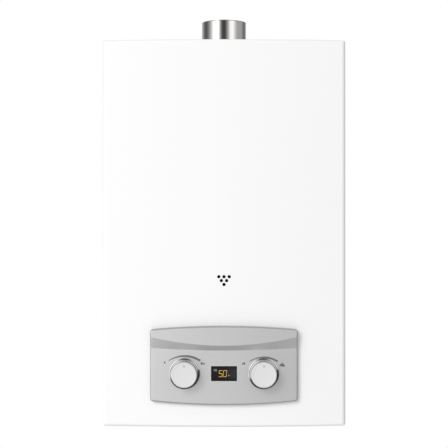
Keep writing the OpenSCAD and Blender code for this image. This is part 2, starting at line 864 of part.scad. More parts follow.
module burner_tray() {
    z = base + burner_up;
    first = -(burner_bars_n - 1) / 2;
    color("silver") difference() {
        block([-core_w / 2, core_w / 2], [core_back, core_front], [z, z + burner_h]);
        block([-core_w / 2 + thin, core_w / 2 - thin], [core_back + thin, core_front - thin],
            [z + thin, z + burner_h + over]);
        block([-core_w / 2 + corner_r, core_w / 2 - corner_r], [core_back + corner_r, core_front - corner_r],
            [z - over, z + 2 * thin]);
        for (i = [0:burner_bars_n - 1])
            to_front((first + i) * bar_pitch, core_front - thin - over, z + thin + mouth_up)
                cylinder(d = mouth_d + 2 * fit, h = thin + 2 * over);
        for (x = [-1, 1]) to_front(x * electrode_x, core_front - thin - over, base + electrode_up)
            cylinder(d = electrode_d + 2 * seat, h = thin + 2 * over);
    }
}

// Gas rail in front of the burner, fed from the gas valve's top
module gas_manifold() {
    near = core_front + rail_gap;
    z = base + burner_up + thin + mouth_up;
    feed = near + rail_w / 2;
    path = [[knob_x, -valve_depth, base + knob_up + port_boss_up],
        [knob_x, -valve_depth, base + burner_up - gas_pipe_d], [knob_x, -feed, base + burner_up - gas_pipe_d],
        [knob_x, -feed, z]];
    first = -(burner_bars_n - 1) / 2;
    color("silver") difference() {
        union() {
            block([-core_w / 2, core_w / 2], [near, near + rail_w], [z - rail_h / 2, z + rail_h / 2]);
            pipe_run(path, gas_pipe_d, gas_pipe_d);
        }
        block([-core_w / 2 + thin, core_w / 2 - thin], [near + thin, near + rail_w - thin],
            [z - rail_h / 2 + thin, z + rail_h / 2 - thin]);
        pipe_run(path, gas_pipe_d, gas_pipe_d - 4 * thin, over);
        for (i = [0:burner_bars_n - 1]) to_front((first + i) * bar_pitch, near - over, z)
            cylinder(d = nozzle_d - 2 * thin, h = thin + 2 * over);
    }
}

module gas_nozzles() {
    z = base + burner_up + thin + mouth_up;
    first = -(burner_bars_n - 1) / 2;
    color("gold") for (i = [0:burner_bars_n - 1])
        to_front((first + i) * bar_pitch, core_front + thin, z) difference() {
            union() {
                cylinder(d1 = nozzle_d / 2, d2 = nozzle_d, h = rail_gap - thin);
                cylinder(d = nozzle_d - 2 * thin - seat, h = rail_gap + thin / 2);
            }
            translate([0, 0, -over]) cylinder(d = nozzle_bore, h = rail_gap + 3 * over);
        }
}

// Barrel that guides a spindle, with a narrow nose towards the panel
module valve_barrel(x) {
    to_front(x, valve_back, base + knob_up) cylinder(d = stem_d, h = valve_front - valve_back);
    to_front(x, valve_front, base + knob_up) cylinder(d = nose_d, h = nose_len);
}

module spindle_bore(x) {
    to_front(x, valve_front - stem_d, base + knob_up)
        cylinder(r = spindle_d / 2 + running, h = stem_d + nose_len + over);
}

module water_valve_body() {
    z = base + knob_up;
    color("goldenrod") difference() {
        union() {
            valve_barrel(-knob_x);
            to_right(-knob_x - diaphragm_w / 2, valve_depth, z) cylinder(d = diaphragm_d, h = diaphragm_w);
            translate([-knob_x, -valve_depth, base + grommet_d])
                cylinder(d = boss_d, h = knob_up - grommet_d);
            translate([-knob_x, -valve_depth, z]) cylinder(d = pipe_d + 8 * thin, h = port_boss_up);
            to_right(-knob_x, valve_depth, z) cylinder(d = link_boss_d, h = diaphragm_w / 2 + link_boss_len);
            translate([-knob_x, -drain_depth, base + drain_up])
                cylinder(d = link_boss_d, h = knob_up - drain_up);
        }
        spindle_bore(-knob_x);
        to_right(-knob_x + over, valve_depth, z)
            cylinder(r = rod_d / 2 + running, h = diaphragm_w / 2 + link_boss_len);
        translate([-knob_x, -valve_depth, base + grommet_d - over])
            cylinder(d = water_bore, h = knob_up - grommet_d - stem_d / 2);
        translate([-knob_x, -valve_depth, z + stem_d / 2])
            cylinder(d = pipe_d - 2 * pipe_wall, h = port_boss_up);
    }
}

module diaphragm_cover() {
    z = base + knob_up;
    x = -knob_x - diaphragm_w / 2 - cover_t;
    color("goldenrod") {
        to_right(x + cover_t / 2, valve_depth, z) cylinder(d = diaphragm_d, h = cover_t / 2 - seat);
        to_right(x, valve_depth, z)
            cylinder(d1 = diaphragm_d * 0.6, d2 = diaphragm_d * 0.72, h = cover_t / 2);
        for (i = [0:5]) to_right(x + cover_t / 4, valve_depth, z) rotate([0, 0, 60 * i])
            translate([diaphragm_d / 2 - screw_head_d / 2, 0, 0])
            cylinder(d = screw_head_d * 0.8, h = cover_t / 2, $fn = 6);
    }
}

module gas_valve_body() {
    z = base + knob_up;
    color("lightgray") difference() {
        union() {
            valve_barrel(knob_x);
            front_slab(valve_back + thin, valve_front - stem_d / 2) translate([knob_x, z])
                polygon(plate_outline(gas_body_w, gas_body_h, corner_r));
            translate([knob_x, -valve_depth, base + grommet_d]) cylinder(d = boss_d, h = knob_up - grommet_d);
            translate([knob_x, -valve_depth, z]) cylinder(d = gas_pipe_d + 8 * thin, h = port_boss_up);
            to_right(knob_x - gas_body_w / 2 - link_boss_len, valve_depth, z)
                cylinder(d = link_boss_d, h = link_boss_len + over);
            block([knob_x, knob_x + coil_x + coil_d / 3],
                [valve_depth - coil_d / 3, valve_depth + coil_d / 3],
                [z - gas_body_h / 3, z - gas_body_h / 3 + corner_r]);
        }
        spindle_bore(knob_x);
        to_right(knob_x - gas_body_w / 2 - link_boss_len - over, valve_depth, z)
            cylinder(r = rod_d / 2 + running, h = link_boss_len + gas_body_w / 2);
        translate([knob_x, -valve_depth, base + grommet_d - over])
            cylinder(d = water_bore, h = knob_up - grommet_d - stem_d / 2);
        translate([knob_x, -valve_depth, z + stem_d / 2])
            cylinder(d = gas_pipe_d - 4 * thin, h = port_boss_up);
        translate([knob_x + coil_x, -valve_depth, z - gas_body_h / 3 - over])
            cylinder(d = plunger_d + 2 * fit, h = corner_r + 2 * over);
    }
}

module gas_solenoid() {
    z = base + knob_up - gas_body_h / 3 + corner_r;
    color("midnightblue") translate([knob_x + coil_x, -valve_depth, z]) difference() {
        union() {
            cylinder(d = coil_d, h = coil_h);
            translate([0, 0, coil_h]) cylinder(d = coil_d * 0.6, h = corner_r / 2);
        }
        translate([0, 0, -over]) cylinder(r = plunger_d / 2 + running, h = coil_h * 0.8 + over);
    }
}

module solenoid_plunger() {
    z = base + knob_up - gas_body_h / 3;
    length = corner_r + coil_h * 0.8 - plunger_travel - 2 * fit;
    color("silver") translate([knob_x + coil_x, -valve_depth, z]) {
        translate([0, 0, -2 * plunger_travel]) cylinder(d = plunger_d, h = 2 * plunger_travel + length);
        translate([0, 0, -2 * plunger_travel - fit]) cylinder(d = plunger_d * 1.6, h = plunger_travel);
    }
}

// Rod that the water valve pushes to the right to open the gas valve
module push_rod() {
    z = base + knob_up;
    reach = knob_x - rod_d;
    color("silver") {
        to_right(-reach + rod_d, valve_depth, z) cylinder(d = rod_d, h = 2 * reach - 2 * rod_d - rod_travel);
        to_right(-collar_t / 2, valve_depth, z) cylinder(d = collar_d, h = collar_t);
        to_right(-collar_t / 2 - cam_len, valve_depth, z) cylinder(d1 = cam_d, d2 = collar_d, h = cam_len);
    }
}

// Return spring between the rod's collar and the gas valve's boss
module rod_spring() {
    z = base + knob_up;
    x0 = collar_t / 2 + seat + spring_wire / 2;
    x1 = knob_x - gas_body_w / 2 - link_boss_len - seat - spring_wire / 2;
    r = (spring_d - spring_wire) / 2;
    steps = spring_turns * 12;
    sides = 6;
    rings = [for (i = [0:steps]) let (a = 360 * i * spring_turns / steps) [for (k = [0:sides - 1])
        let (b = 360 * k / sides, q = r + spring_wire / 2 * cos(b))
        [x0 + (x1 - x0) * i / steps + spring_wire / 2 * sin(b), -valve_depth + q * cos(a), z + q * sin(a)]]];
    walls = [for (i = [0:steps - 1], k = [0:sides - 1])
        let (a = i * sides + k, b = i * sides + (k + 1) % sides)
        each [[a, a + sides, b + sides], [a, b + sides, b]]];
    ends = concat([for (k = [1:sides - 2]) [0, k, k + 1]],
        [for (k = [1:sides - 2]) let (a = steps * sides) [a, a + k + 1, a + k]]);
    color("silver") polyhedron([for (ring = rings) each ring], concat(walls, ends));
}

// Microswitch over the rod, on its own small bracket
module microswitch() {
    z = base + knob_up + collar_d / 2 + lever_gap;
    color("black") difference() {
        union() {
            block([-switch_len - collar_t, -collar_t],
                [valve_depth - switch_w / 2, valve_depth + switch_w / 2],
                [z, z + switch_h]);
            block([-switch_len - collar_t, -collar_t], [valve_back, valve_depth], [z, z + thin]);
            for (d = [valve_depth - switch_w / 2, valve_depth + switch_w / 2 - lever_t])
                block([-switch_len - collar_t, -switch_len - collar_t + 3 * pin_d], [d, d + lever_t],
                    [z - 2 * pin_d, z + lever_t]);
        }
        to_front(-switch_len - collar_t + 1.5 * pin_d, valve_depth - switch_w, z - pin_d)
            cylinder(r = pin_d / 2 + running, h = 2 * switch_w);
    }
}

// Lever under the switch, its tip beside the rod's collar
module switch_lever() {
    z = base + knob_up + collar_d / 2 + lever_gap - pin_d;
    x = -switch_len - collar_t + 1.5 * pin_d;
    half = switch_w / 2 - lever_t - fit;
    color("silver") {
        to_front(x, valve_depth - switch_w / 2, z) cylinder(d = pin_d, h = switch_w);
        block([x, -collar_t / 2 - fit], [valve_depth - half, valve_depth + half],
            [z - lever_t / 2, z + lever_t / 2]);
        block([-collar_t / 2 - fit - lever_t, -collar_t / 2 - fit], [valve_depth - half, valve_depth + half],
            [base + knob_up + collar_d / 2 + seat, z + lever_t / 2]);
    }
}

// Stub through the bottom plate: thread below, plain shank, and a nut on top
module stub(x, bore) {
    z = base - stub_len;
    height = stub_len + grommet_d;
    translate([x, -valve_depth, z]) difference() {
        union() {
            cylinder(d = thread_d, h = stub_len - thread_gap);
            cylinder(d = shank_d, h = height);
            translate([0, 0, stub_len + 2 * sheet + grommet_t]) cylinder(d = nut_d, h = nut_h, $fn = 6);
        }
        translate([0, 0, -over]) cylinder(d = bore, h = height + 2 * over);
    }
}

module cold_inlet() {
    color("goldenrod") stub(-knob_x, stub_bore);
}

module gas_inlet() {
    color("goldenrod") stub(knob_x, stub_bore);
}

module hot_outlet() {
    color("goldenrod") stub(-hot_x, pipe_d - 2 * pipe_wall);
}

module inlet_filter() {
    z = base - stub_len / 2;
    color("white") translate([-knob_x, -valve_depth, z]) difference() {
        union() {
            cylinder(d = filter_d, h = filter_len);
            cylinder(d = stub_bore - seat, h = 2 * thin);
        }
        translate([0, 0, -over]) cylinder(d = filter_d - 2 * thin, h = filter_len - thin + over);
        for (a = [0:3]) rotate([0, 0, 45 * a]) translate([-filter_d, -thin / 2, 3 * thin])
            cube([2 * filter_d, thin, filter_len - 5 * thin]);
    }
}

module hot_pipe() {
    last = -pass_depth(pass_n - 1);
    path = [[-pass_end, last, base + pass_up], [-hot_x, last, base + pass_up],
        [-hot_x, last, base + hot_turn_up], [-hot_x, -valve_depth, base + hot_turn_up],
        [-hot_x, -valve_depth, base + grommet_d]];
    color("peru") pipe(path, elbow_r, pipe_d, pipe_wall);
}

module drain_plug() {
    color("goldenrod") translate([-knob_x, -drain_depth, base - stub_len / 2]) {
        cylinder(d = link_boss_d - 2 * fit, h = stub_len / 2 + drain_up - seat);
        for (i = [0:7]) rotate([0, 0, 45 * i]) translate([link_boss_d / 2 - 2 * fit, 0, 0])
            cylinder(d = 2 * thin, h = stub_len / 2 - fit);
    }
}

module pipe_grommets() {
    color("black") for (x = [-hot_x, -knob_x, knob_x]) translate([x, -valve_depth, base]) difference() {
        union() {
            translate([0, 0, sheet - grommet_t]) cylinder(d = grommet_d, h = grommet_t);
            cylinder(d = grommet_d - 4 * fit - 2 * seat, h = 2 * sheet);
            translate([0, 0, 2 * sheet]) cylinder(d = grommet_d, h = grommet_t);
        }
        translate([0, 0, -over - grommet_t]) cylinder(d = shank_d + 2 * seat, h = 4 * grommet_t + 2 * over);
    }
}

// Hat bracket seen from above: feet on the back plate, web at a depth
module hat(web_w, foot, depth, z, h) {
    block([-web_w / 2, web_w / 2], [depth - thin, depth], [z, z + h]);
    for (s = [-1, 1]) {
        translate([s * (web_w - thin) / 2, 0, 0])
            block([-thin / 2, thin / 2], [sheet, depth], [z, z + h]);
        translate([s * (web_w + foot - thin) / 2, 0, 0])
            block([-foot / 2, foot / 2], [sheet, sheet + thin], [z, z + h]);
    }
}

module core_brackets() {
    color("silver") for (x = [-1, 1], z = [base + burner_up + corner_r, base + fins_up + thin])
        translate([x * core_w / 3, 0, 0])
            hat(core_w / 6, corner_r, core_back - seat, z, fins_h - 4 * thin);
}

module valve_bracket() {
    color("silver")
        hat(2 * knob_x + gas_body_w, corner_r, valve_back - seat, base + knob_up - stem_d / 2, stem_d);
}

// Front of the panel: the distance from the outline gives the rounded edge, and the brow rises over the knobs
function panel_edge(x) =
    let (s = x / (panel_w / 2), d = panel_w / 2 - abs(x), c = corner_fit - min(d, corner_fit))
    panel_h / 2 - panel_bow * s * s - corner_fit + sqrt(max(0, pow(corner_fit, 2) - c * c));

function edge_drop(d) =
    let (c = panel_round - min(d, panel_round)) panel_round - sqrt(pow(panel_round, 2) - c * c);

function brow(x, z) =
    let (s = pow(x / (panel_w / 2), 2), foot = foot_mid + (foot_end - foot_mid) * s,
        crest = crest_mid + (crest_end - crest_mid) * s, f = min(1, max(0, (z - foot) / (crest - foot))))
    brow_proud * f * f * (3 - 2 * f);

function panel_columns() =
    let (w = panel_w / 2, r = panel_round)
    concat([for (d = edge_steps) d - w],
        [for (k = [1:2 * panel_cols_n - 1]) (r - w) + (2 * w - 2 * r) * k / (2 * panel_cols_n)],
        [for (i = [3:-1:0]) w - edge_steps[i]]);

function panel_rows(x) =
    let (e = panel_edge(x), s = pow(x / (panel_w / 2), 2), foot = foot_mid + (foot_end - foot_mid) * s,
        crest = crest_mid + (crest_end - crest_mid) * s)
    concat([for (d = edge_steps) d - e], [0, foot, (foot + crest) / 2, crest],
        [for (i = [3:-1:0]) e - edge_steps[i]]);

module panel_blank() {
    front_grid = [for (x = panel_columns()) [for (z = panel_rows(x))
        let (d = min(panel_w / 2 - abs(x), panel_edge(x) - abs(z)),
            p = panel_proud + brow(x, z) - edge_drop(d))
        [x, skin_y(x, p), base + panel_up + z]]];
    back_grid = [for (x = panel_columns()) [for (z = panel_rows(x))
        [x, skin_y(x, seat), base + panel_up + z]]];
    skin(front_grid, back_grid);
}

module control_panel() {
    depth = front - crown - corner_r;
    screw_top = -skin_y(opening_w / 2 + screw_d, panel_proud - panel_wall);
    color("silver") difference() {
        panel_blank();
        intersection() {
            crown_band(crown_r - over, crown_r + panel_proud - panel_wall);
            front_slab(depth, front + panel_proud) translate([0, base + opening_up])
                polygon(plate_outline(opening_w - 2 * thin, opening_h - 2 * thin, corner_r));
        }
        for (x = [-knob_x, knob_x]) {
            to_front(x, depth, base + knob_up) cylinder(d = panel_hole, h = crown + 4 * corner_r);
            to_front(x, knob_floor, base + knob_up) cylinder(d = bezel_d + 2 * seat, h = 4 * corner_r);
        }
        to_front(0, depth, base + knob_up) linear_extrude(4 * corner_r)
            square([lens_w + 2 * seat, lens_h + 2 * seat], center = true);
        panel_screw_places() to_front(0, depth, 0) cylinder(d = screw_d - fit, h = screw_top - depth);
    }
}

module panel_screws() {
    depth = -skin_y(opening_w / 2 + screw_d) - sheet - 4 * seat;
    color("gainsboro") panel_screw_places() to_front(0, depth, 0) mirror([0, 0, 1]) pan_screw(4 * thin);
}

module display_lens() {
    face = -skin_y(0, panel_proud) + seat;
    color("black") to_front(0, face - lens_t, base + knob_up) linear_extrude(lens_t)
        square([lens_w, lens_h], center = true);
}

module display_board() {
    back = front - corner_r;
    lens_back = -skin_y(0, panel_proud) + seat - lens_t;
    spacer = -skin_y(display_w / 2, panel_proud - panel_wall) - fit;
    color("darkgreen") {
        to_front(0, back - board_t, base + knob_up) linear_extrude(board_t)
            polygon(plate_outline(display_w + 2 * screw_head_d, display_h, thin));
        to_front(0, back, base + knob_up) linear_extrude(lens_back - back - seat)
            square([module_w, module_h], center = true);
        for (x = [-1, 1]) to_front(x * display_w / 2, back, base + knob_up)
            cylinder(d = screw_head_d, h = spacer - back);
    }
}

// Knob with a sloping side, a bevelled rim, a shallow dish and a hub under it
module knob(x) {
    to_front(x, knob_seat, base + knob_up) difference() {
        rotate_extrude() polygon([[0, 0], [knob_base_d / 2 - thin, 0], [knob_base_d / 2, thin],
            [knob_base_d / 2, 2 * thin], [knob_face_d / 2, knob_len - knob_bevel],
            [knob_face_d / 2 - knob_bevel, knob_len],
            [knob_face_d / 2 - 2 * knob_bevel, knob_len - knob_dish], [0, knob_len - knob_dish]]);
        difference() {
            translate([0, 0, -over])
                cylinder(d = knob_face_d - 2 * knob_skirt, h = knob_len - 2 * knob_skirt + over);
            translate([0, 0, -2 * over]) cylinder(d = 2 * spindle_d, h = knob_len);
        }
        translate([0, 0, -over]) cylinder(r = spindle_d / 2 + running, h = knob_len - knob_skirt);
        translate([0, knob_face_d / 2 - 2 * knob_bevel - mark_d / 2 - fit, knob_len - 2 * knob_dish])
            cylinder(d = mark_d, h = 2 * knob_dish);
    }
}

module spindle(x) {
    foot = valve_front - stem_d + over;
    tip = knob_seat + knob_len - knob_skirt - 2 * over;
    to_front(x, foot, base + knob_up) cylinder(d = spindle_d, h = tip - foot);
}

// Ring seated on the flat floor that is sunk into the panel's curved face
module bezel(x) {
    h = -skin_y(knob_x, panel_proud) + bezel_proud - knob_floor - seat;
    to_front(x, knob_floor + seat, base + knob_up) rotate_extrude($fn = 4 * $fn)
        polygon([[bezel_d / 2 - bezel_wall, 0], [bezel_d / 2, 0], [bezel_d / 2, h - bezel_wall],
            [bezel_d / 2 - bezel_wall / 3, h - bezel_wall / 3], [bezel_d / 2 - bezel_wall / 1.5, h],
            [bezel_d / 2 - bezel_wall, h - bezel_wall / 3]]);
}

module water_knob() {
    color("gainsboro") knob(-knob_x);
}

module gas_knob() {
    color("gainsboro") knob(knob_x);
}

module water_spindle() {
    color("silver") spindle(-knob_x);
}

module gas_spindle() {
    color("silver") spindle(knob_x);
}

module water_bezel() {
    color("silver") bezel(-knob_x);
}

module gas_bezel() {
    color("silver") bezel(knob_x);
}

module ignition_box() {
    x = inner_w / 2 - side_gap - igniter_size.x;
    z = base + igniter_up;
    color("dimgray") {
        block([x, x + igniter_size.x], [sheet, igniter_size.y], [z, z + igniter_size.z]);
        for (s = [-1, 1])
            translate([x + igniter_size.x / 2 + s * corner_r, -igniter_size.y / 2, z - corner_r / 2])
            cylinder(d = corner_r, h = corner_r);
    }
}

module electrode(x) {
    to_front(x, core_front - 3 * electrode_d, base + electrode_up)
        cylinder(d = electrode_d, h = 4 * electrode_d);
    to_front(x, core_front - 5 * electrode_d, base + electrode_up)
        cylinder(d = electrode_d / 4, h = 2 * electrode_d + over);
}

module ignition_electrode() {
    color("ivory") electrode(electrode_x);
}

module flame_sensor() {
    color("ivory") electrode(-electrode_x);
}

module ignition_lead() {
    x = inner_w / 2 - side_gap - igniter_size.x / 2 - corner_r;
    z = base + electrode_up;
    y = -core_front - electrode_d - seat;
    turn = 3 * lead_d;
    start = base + igniter_up - corner_r / 2 - seat;
    path = [[x, -igniter_size.y / 2, start], [x, -igniter_size.y / 2, z - lead_drop],
        [x, y - turn, z - lead_drop], [electrode_x, y - turn, z - lead_drop],
        [electrode_x, y - turn, z], [electrode_x, y, z]];
    color("firebrick") pipe_run(path, 2 * lead_d, lead_d);
}

module power_box() {
    x = -inner_w / 2 + corner_r;
    z = top - power_gap - power_size.z;
    color("dimgray") difference() {
        block([x, x + power_size.x], [sheet, power_size.y], [z, z + power_size.z]);
        for (i = [1:6]) block([x + corner_r, x + power_size.x - corner_r],
            [power_size.y - 2 * thin, power_size.y + over],
            [z + power_size.z * i / 7, z + power_size.z * i / 7 + 2 * thin]);
    }
}

module cable_gland() {
    color("black") translate([gland_x, -gland_depth, base]) difference() {
        union() {
            translate([0, 0, sheet - nut_h]) cylinder(d = thread_d + 6 * thin, h = nut_h, $fn = 6);
            translate([0, 0, sheet - nut_h - corner_r / 2])
                cylinder(d1 = thread_d * 0.6, d2 = thread_d, h = corner_r / 2);
            cylinder(d = thread_d - 2 * seat, h = 2 * sheet);
            translate([0, 0, 2 * sheet]) cylinder(d = thread_d + 4 * thin, h = nut_h / 2, $fn = 6);
        }
        translate([0, 0, -2 * nut_h]) cylinder(d = gland_bore, h = 4 * nut_h);
    }
}

module pressure_switch() {
    color("ivory") to_front(pressure_x, sheet, base + pressure_up) {
        cylinder(d = pressure_d, h = pressure_t / 2);
        translate([0, 0, pressure_t / 2 - thin]) cylinder(d = pressure_d + 4 * thin, h = 2 * thin);
        cylinder(d = pressure_d * 0.7, h = pressure_t);
        cylinder(d = hose_d - 2 * thin - 2 * seat, h = pressure_t + hose_out);
    }
}

module pressure_hose() {
    z = base + pressure_up;
    path = [[fan_x + scroll_max + scroll_wall + seat, -flue_depth, z], [pressure_x, -flue_depth, z],
        [pressure_x, -pressure_t - sheet - seat, z]];
    color("lightyellow") pipe(path, hose_bend_r, hose_d, thin);
}

module overheat_cutout() {
    color("black") to_front(cutout_x, core_front + seat, base + fins_up + fins_h / 2) {
        cylinder(d = cutout_d, h = 4 * thin);
        for (s = [-1, 1]) translate([s * cutout_d / 4 - thin, -thin / 2, 0])
            cube([2 * thin, thin, cutout_d / 2]);
    }
}

front_cover();
back_plate();
top_plate();
bottom_plate();
cover_screws();
flue_collar();
flue_seal();
fan_housing();
fan_motor();
fan_shaft();
fan_wheel();
exhaust_hood();
exchanger_case();
exchanger_fins();
exchanger_pipes();
combustion_chamber();
wrap_pipe();
sight_glass();
burner_bars();
burner_tray();
gas_manifold();
gas_nozzles();
gas_valve_body();
gas_inlet();
gas_solenoid();
solenoid_plunger();
water_valve_body();
diaphragm_cover();
push_rod();
rod_spring();
microswitch();
switch_lever();
cold_inlet();
inlet_filter();
hot_outlet();
hot_pipe();
drain_plug();
pipe_grommets();
core_brackets();
valve_bracket();
control_panel();
panel_screws();
display_lens();
display_board();
water_knob();
water_spindle();
water_bezel();
gas_knob();
gas_spindle();
gas_bezel();
ignition_box();
ignition_electrode();
flame_sensor();
ignition_lead();
power_box();
cable_gland();
pressure_switch();
pressure_hose();
overheat_cutout();
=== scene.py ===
import bpy
import math
from mathutils import Matrix, Vector


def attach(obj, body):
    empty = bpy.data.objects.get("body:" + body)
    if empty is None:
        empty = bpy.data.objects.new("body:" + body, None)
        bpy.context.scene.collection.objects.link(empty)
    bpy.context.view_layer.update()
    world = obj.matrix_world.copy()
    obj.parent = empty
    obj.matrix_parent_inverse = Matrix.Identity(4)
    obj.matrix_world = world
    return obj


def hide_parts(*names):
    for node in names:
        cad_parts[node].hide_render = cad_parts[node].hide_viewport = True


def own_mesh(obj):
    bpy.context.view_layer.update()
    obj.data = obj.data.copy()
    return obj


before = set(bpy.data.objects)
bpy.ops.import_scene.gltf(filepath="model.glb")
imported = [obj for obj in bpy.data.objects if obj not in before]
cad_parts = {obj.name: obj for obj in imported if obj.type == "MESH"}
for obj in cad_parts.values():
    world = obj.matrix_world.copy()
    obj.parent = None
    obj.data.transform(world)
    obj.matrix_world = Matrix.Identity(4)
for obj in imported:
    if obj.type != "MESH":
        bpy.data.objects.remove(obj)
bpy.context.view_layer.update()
mm = 0.001
print("frame loaded,", len(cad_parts), "nodes")

# the casing's front is one big upright arc, its centre far behind the wall
front = {"axis": 1.223625, "radius": 1.382625}


def skinY(x, proud=0.0):  # where the front skin, or a face proud of it, lies at a distance across
    return front["axis"] - math.sqrt((front["radius"] + proud) ** 2 - x * x)


# camera, lamps and surroundings
camera = {"lens": 90.0, "sensor": 36.0, "place": (0.0, -1.600, 0.0116)}
cameraData = bpy.data.cameras.new("frontCamera")
cameraData.lens = camera["lens"]
cameraData.sensor_width = camera["sensor"]
cameraObject = bpy.data.objects.new("frontCamera", cameraData)
cameraObject.location = camera["place"]
cameraObject.rotation_euler = (math.radians(90), 0, 0)
bpy.context.scene.collection.objects.link(cameraObject)
bpy.context.scene.camera = cameraObject
bpy.context.scene.view_settings.view_transform = "Standard"

lamps = {"keyLamp": {"place": (-5.7, -10.2, 5.85), "size": 5.4, "power": 750.0}}
for lampName, lamp in lamps.items():
    lampData = bpy.data.lights.new(lampName, "AREA")
    lampData.size = lamp["size"]
    lampData.energy = lamp["power"]
    lampObject = bpy.data.objects.new(lampName, lampData)
    lampObject.location = lamp["place"]
    lampObject.visible_glossy = False
    lampObject.rotation_euler = (-Vector(lamp["place"])).to_track_quat("-Z", "Y").to_euler()
    bpy.context.scene.collection.objects.link(lampObject)


def addNode(tree, kind, **values):
    node = tree.nodes.new(kind)
    for key, value in values.items():
        setattr(node, key, value)
    return node


def mathNode(tree, operation, *operands, clamp=False):
    node = addNode(tree, "ShaderNodeMath", operation=operation, use_clamp=clamp)
    for socket, value in zip(node.inputs, operands):
        if isinstance(value, (int, float)):
            socket.default_value = value
        else:
            tree.links.new(value, socket)
    return node.outputs[0]


# diffuse light is nearly even; mirrors see a white studio with dark flags at some bearings
studio = {
    "even": 0.545, "towards": (-0.12, -0.265, -0.14), "white": 0.995,
    "flags": ((-180, 0.60), (-150, 0.50), (-118, 0.10), (-98, 0.11), (-82, 0.32), (-68, 0.70), (-58, 1.2),
              (-46, 1.8), (-32, 1.8), (-22, 0.62), (-16, 0.26), (-9, 0.06), (2, 0.04), (8, 0.07),
              (22, 0.46), (33, 1.10), (46, 1.20), (58, 0.80), (72, 0.42), (104, 0.40), (116, 0.22),
              (134, 0.14), (156, 0.50), (180, 0.60)),
    # above and below the flags the room is plainer: the heights where each zone starts and is full, its
    # level, and how the level changes to the right
    "zones": ((0.72, 0.92, 0.85, -0.5), (0.14, 0.04, 0.66, -1.15), (-0.28, -0.5, 0.03, 0.0)),
    "most": 1.15,
}


def mirrorRoom(tree, coords):  # the colour that a mirror sees in each direction
    link = tree.links.new
    split = addNode(tree, "ShaderNodeSeparateXYZ")
    link(coords.outputs["Generated"], split.inputs[0])
    behind = mathNode(tree, "MULTIPLY", split.outputs["Y"], -1.0)
    bearing = mathNode(tree, "ARCTAN2", split.outputs["X"], behind)
    share = mathNode(tree, "ADD", mathNode(tree, "DIVIDE", bearing, 2 * math.pi), 0.5)
    ramp = addNode(tree, "ShaderNodeValToRGB")
    link(share, ramp.inputs[0])
    stops = ramp.color_ramp.elements
    while len(stops) < len(studio["flags"]):
        stops.new(0.5)
    for stop, (angle, level) in zip(stops, studio["flags"]):
        stop.position = angle / 360 + 0.5
        stop.color = (level, level, level, 1)
    room = ramp.outputs["Color"]
    for start, full, level, lean in studio["zones"]:
        zone = mathNode(tree, "MULTIPLY_ADD", split.outputs["X"], lean, level)
        held = mathNode(tree, "MINIMUM", mathNode(tree, "MAXIMUM", zone, 0.0), studio["most"])
        reach = addNode(tree, "ShaderNodeMapRange")
        reach.inputs["From Min"].default_value = start
        reach.inputs["From Max"].default_value = full
        link(split.outputs["Z"], reach.inputs["Value"])
        blend = addNode(tree, "ShaderNodeMix", data_type="RGBA")
        link(reach.outputs["Result"], blend.inputs["Factor"])
        link(room, blend.inputs["A"])
        link(held, blend.inputs["B"])
        room = blend.outputs["Result"]
    return room


def buildWorld():
    world = bpy.data.worlds.new("studio")
    bpy.context.scene.world = world
    world.use_nodes = True
    tree = world.node_tree
    tree.nodes.clear()
    link = tree.links.new
    coords = addNode(tree, "ShaderNodeTexCoord")
    path = addNode(tree, "ShaderNodeLightPath")
    plain = mathNode(tree, "MAXIMUM", path.outputs["Is Camera Ray"], path.outputs["Is Transmission Ray"])
    lean = addNode(tree, "ShaderNodeVectorMath", operation="DOT_PRODUCT")
    link(coords.outputs["Generated"], lean.inputs[0])
    lean.inputs[1].default_value = studio["towards"]
    even = addNode(tree, "ShaderNodeBackground")
    even.inputs["Color"].default_value = (studio["white"],) * 3 + (1,)
    link(mathNode(tree, "ADD", lean.outputs["Value"], studio["even"]), even.inputs["Strength"])
    mirror = addNode(tree, "ShaderNodeBackground")
    link(mirrorRoom(tree, coords), mirror.inputs["Color"])
    white = addNode(tree, "ShaderNodeBackground")
    white.inputs["Color"].default_value = (1, 1, 1, 1)
    seen = even.outputs[0]
    for share, other in ((path.outputs["Is Glossy Ray"], mirror), (plain, white)):
        mix = addNode(tree, "ShaderNodeMixShader")
        link(share, mix.inputs[0])
        link(seen, mix.inputs[1])
        link(other.outputs[0], mix.inputs[2])
        seen = mix.outputs[0]
    link(seen, addNode(tree, "ShaderNodeOutputWorld").inputs["Surface"])


buildWorld()
print("camera, lamps and studio set")


# shared effects
def newGroup(label, *inputs):
    group = bpy.data.node_groups.new(label, "ShaderNodeTree")
    kinds = {"Color": "NodeSocketColor", "Stretch": "NodeSocketVector"}
    for way, names in (("INPUT", inputs), ("OUTPUT", ("Color", "Roughness", "Height"))):
        for name in names:
            group.interface.new_socket(name, in_out=way, socket_type=kinds.get(name, "NodeSocketFloat"))
    return group, addNode(group, "NodeGroupInput"), addNode(group, "NodeGroupOutput")


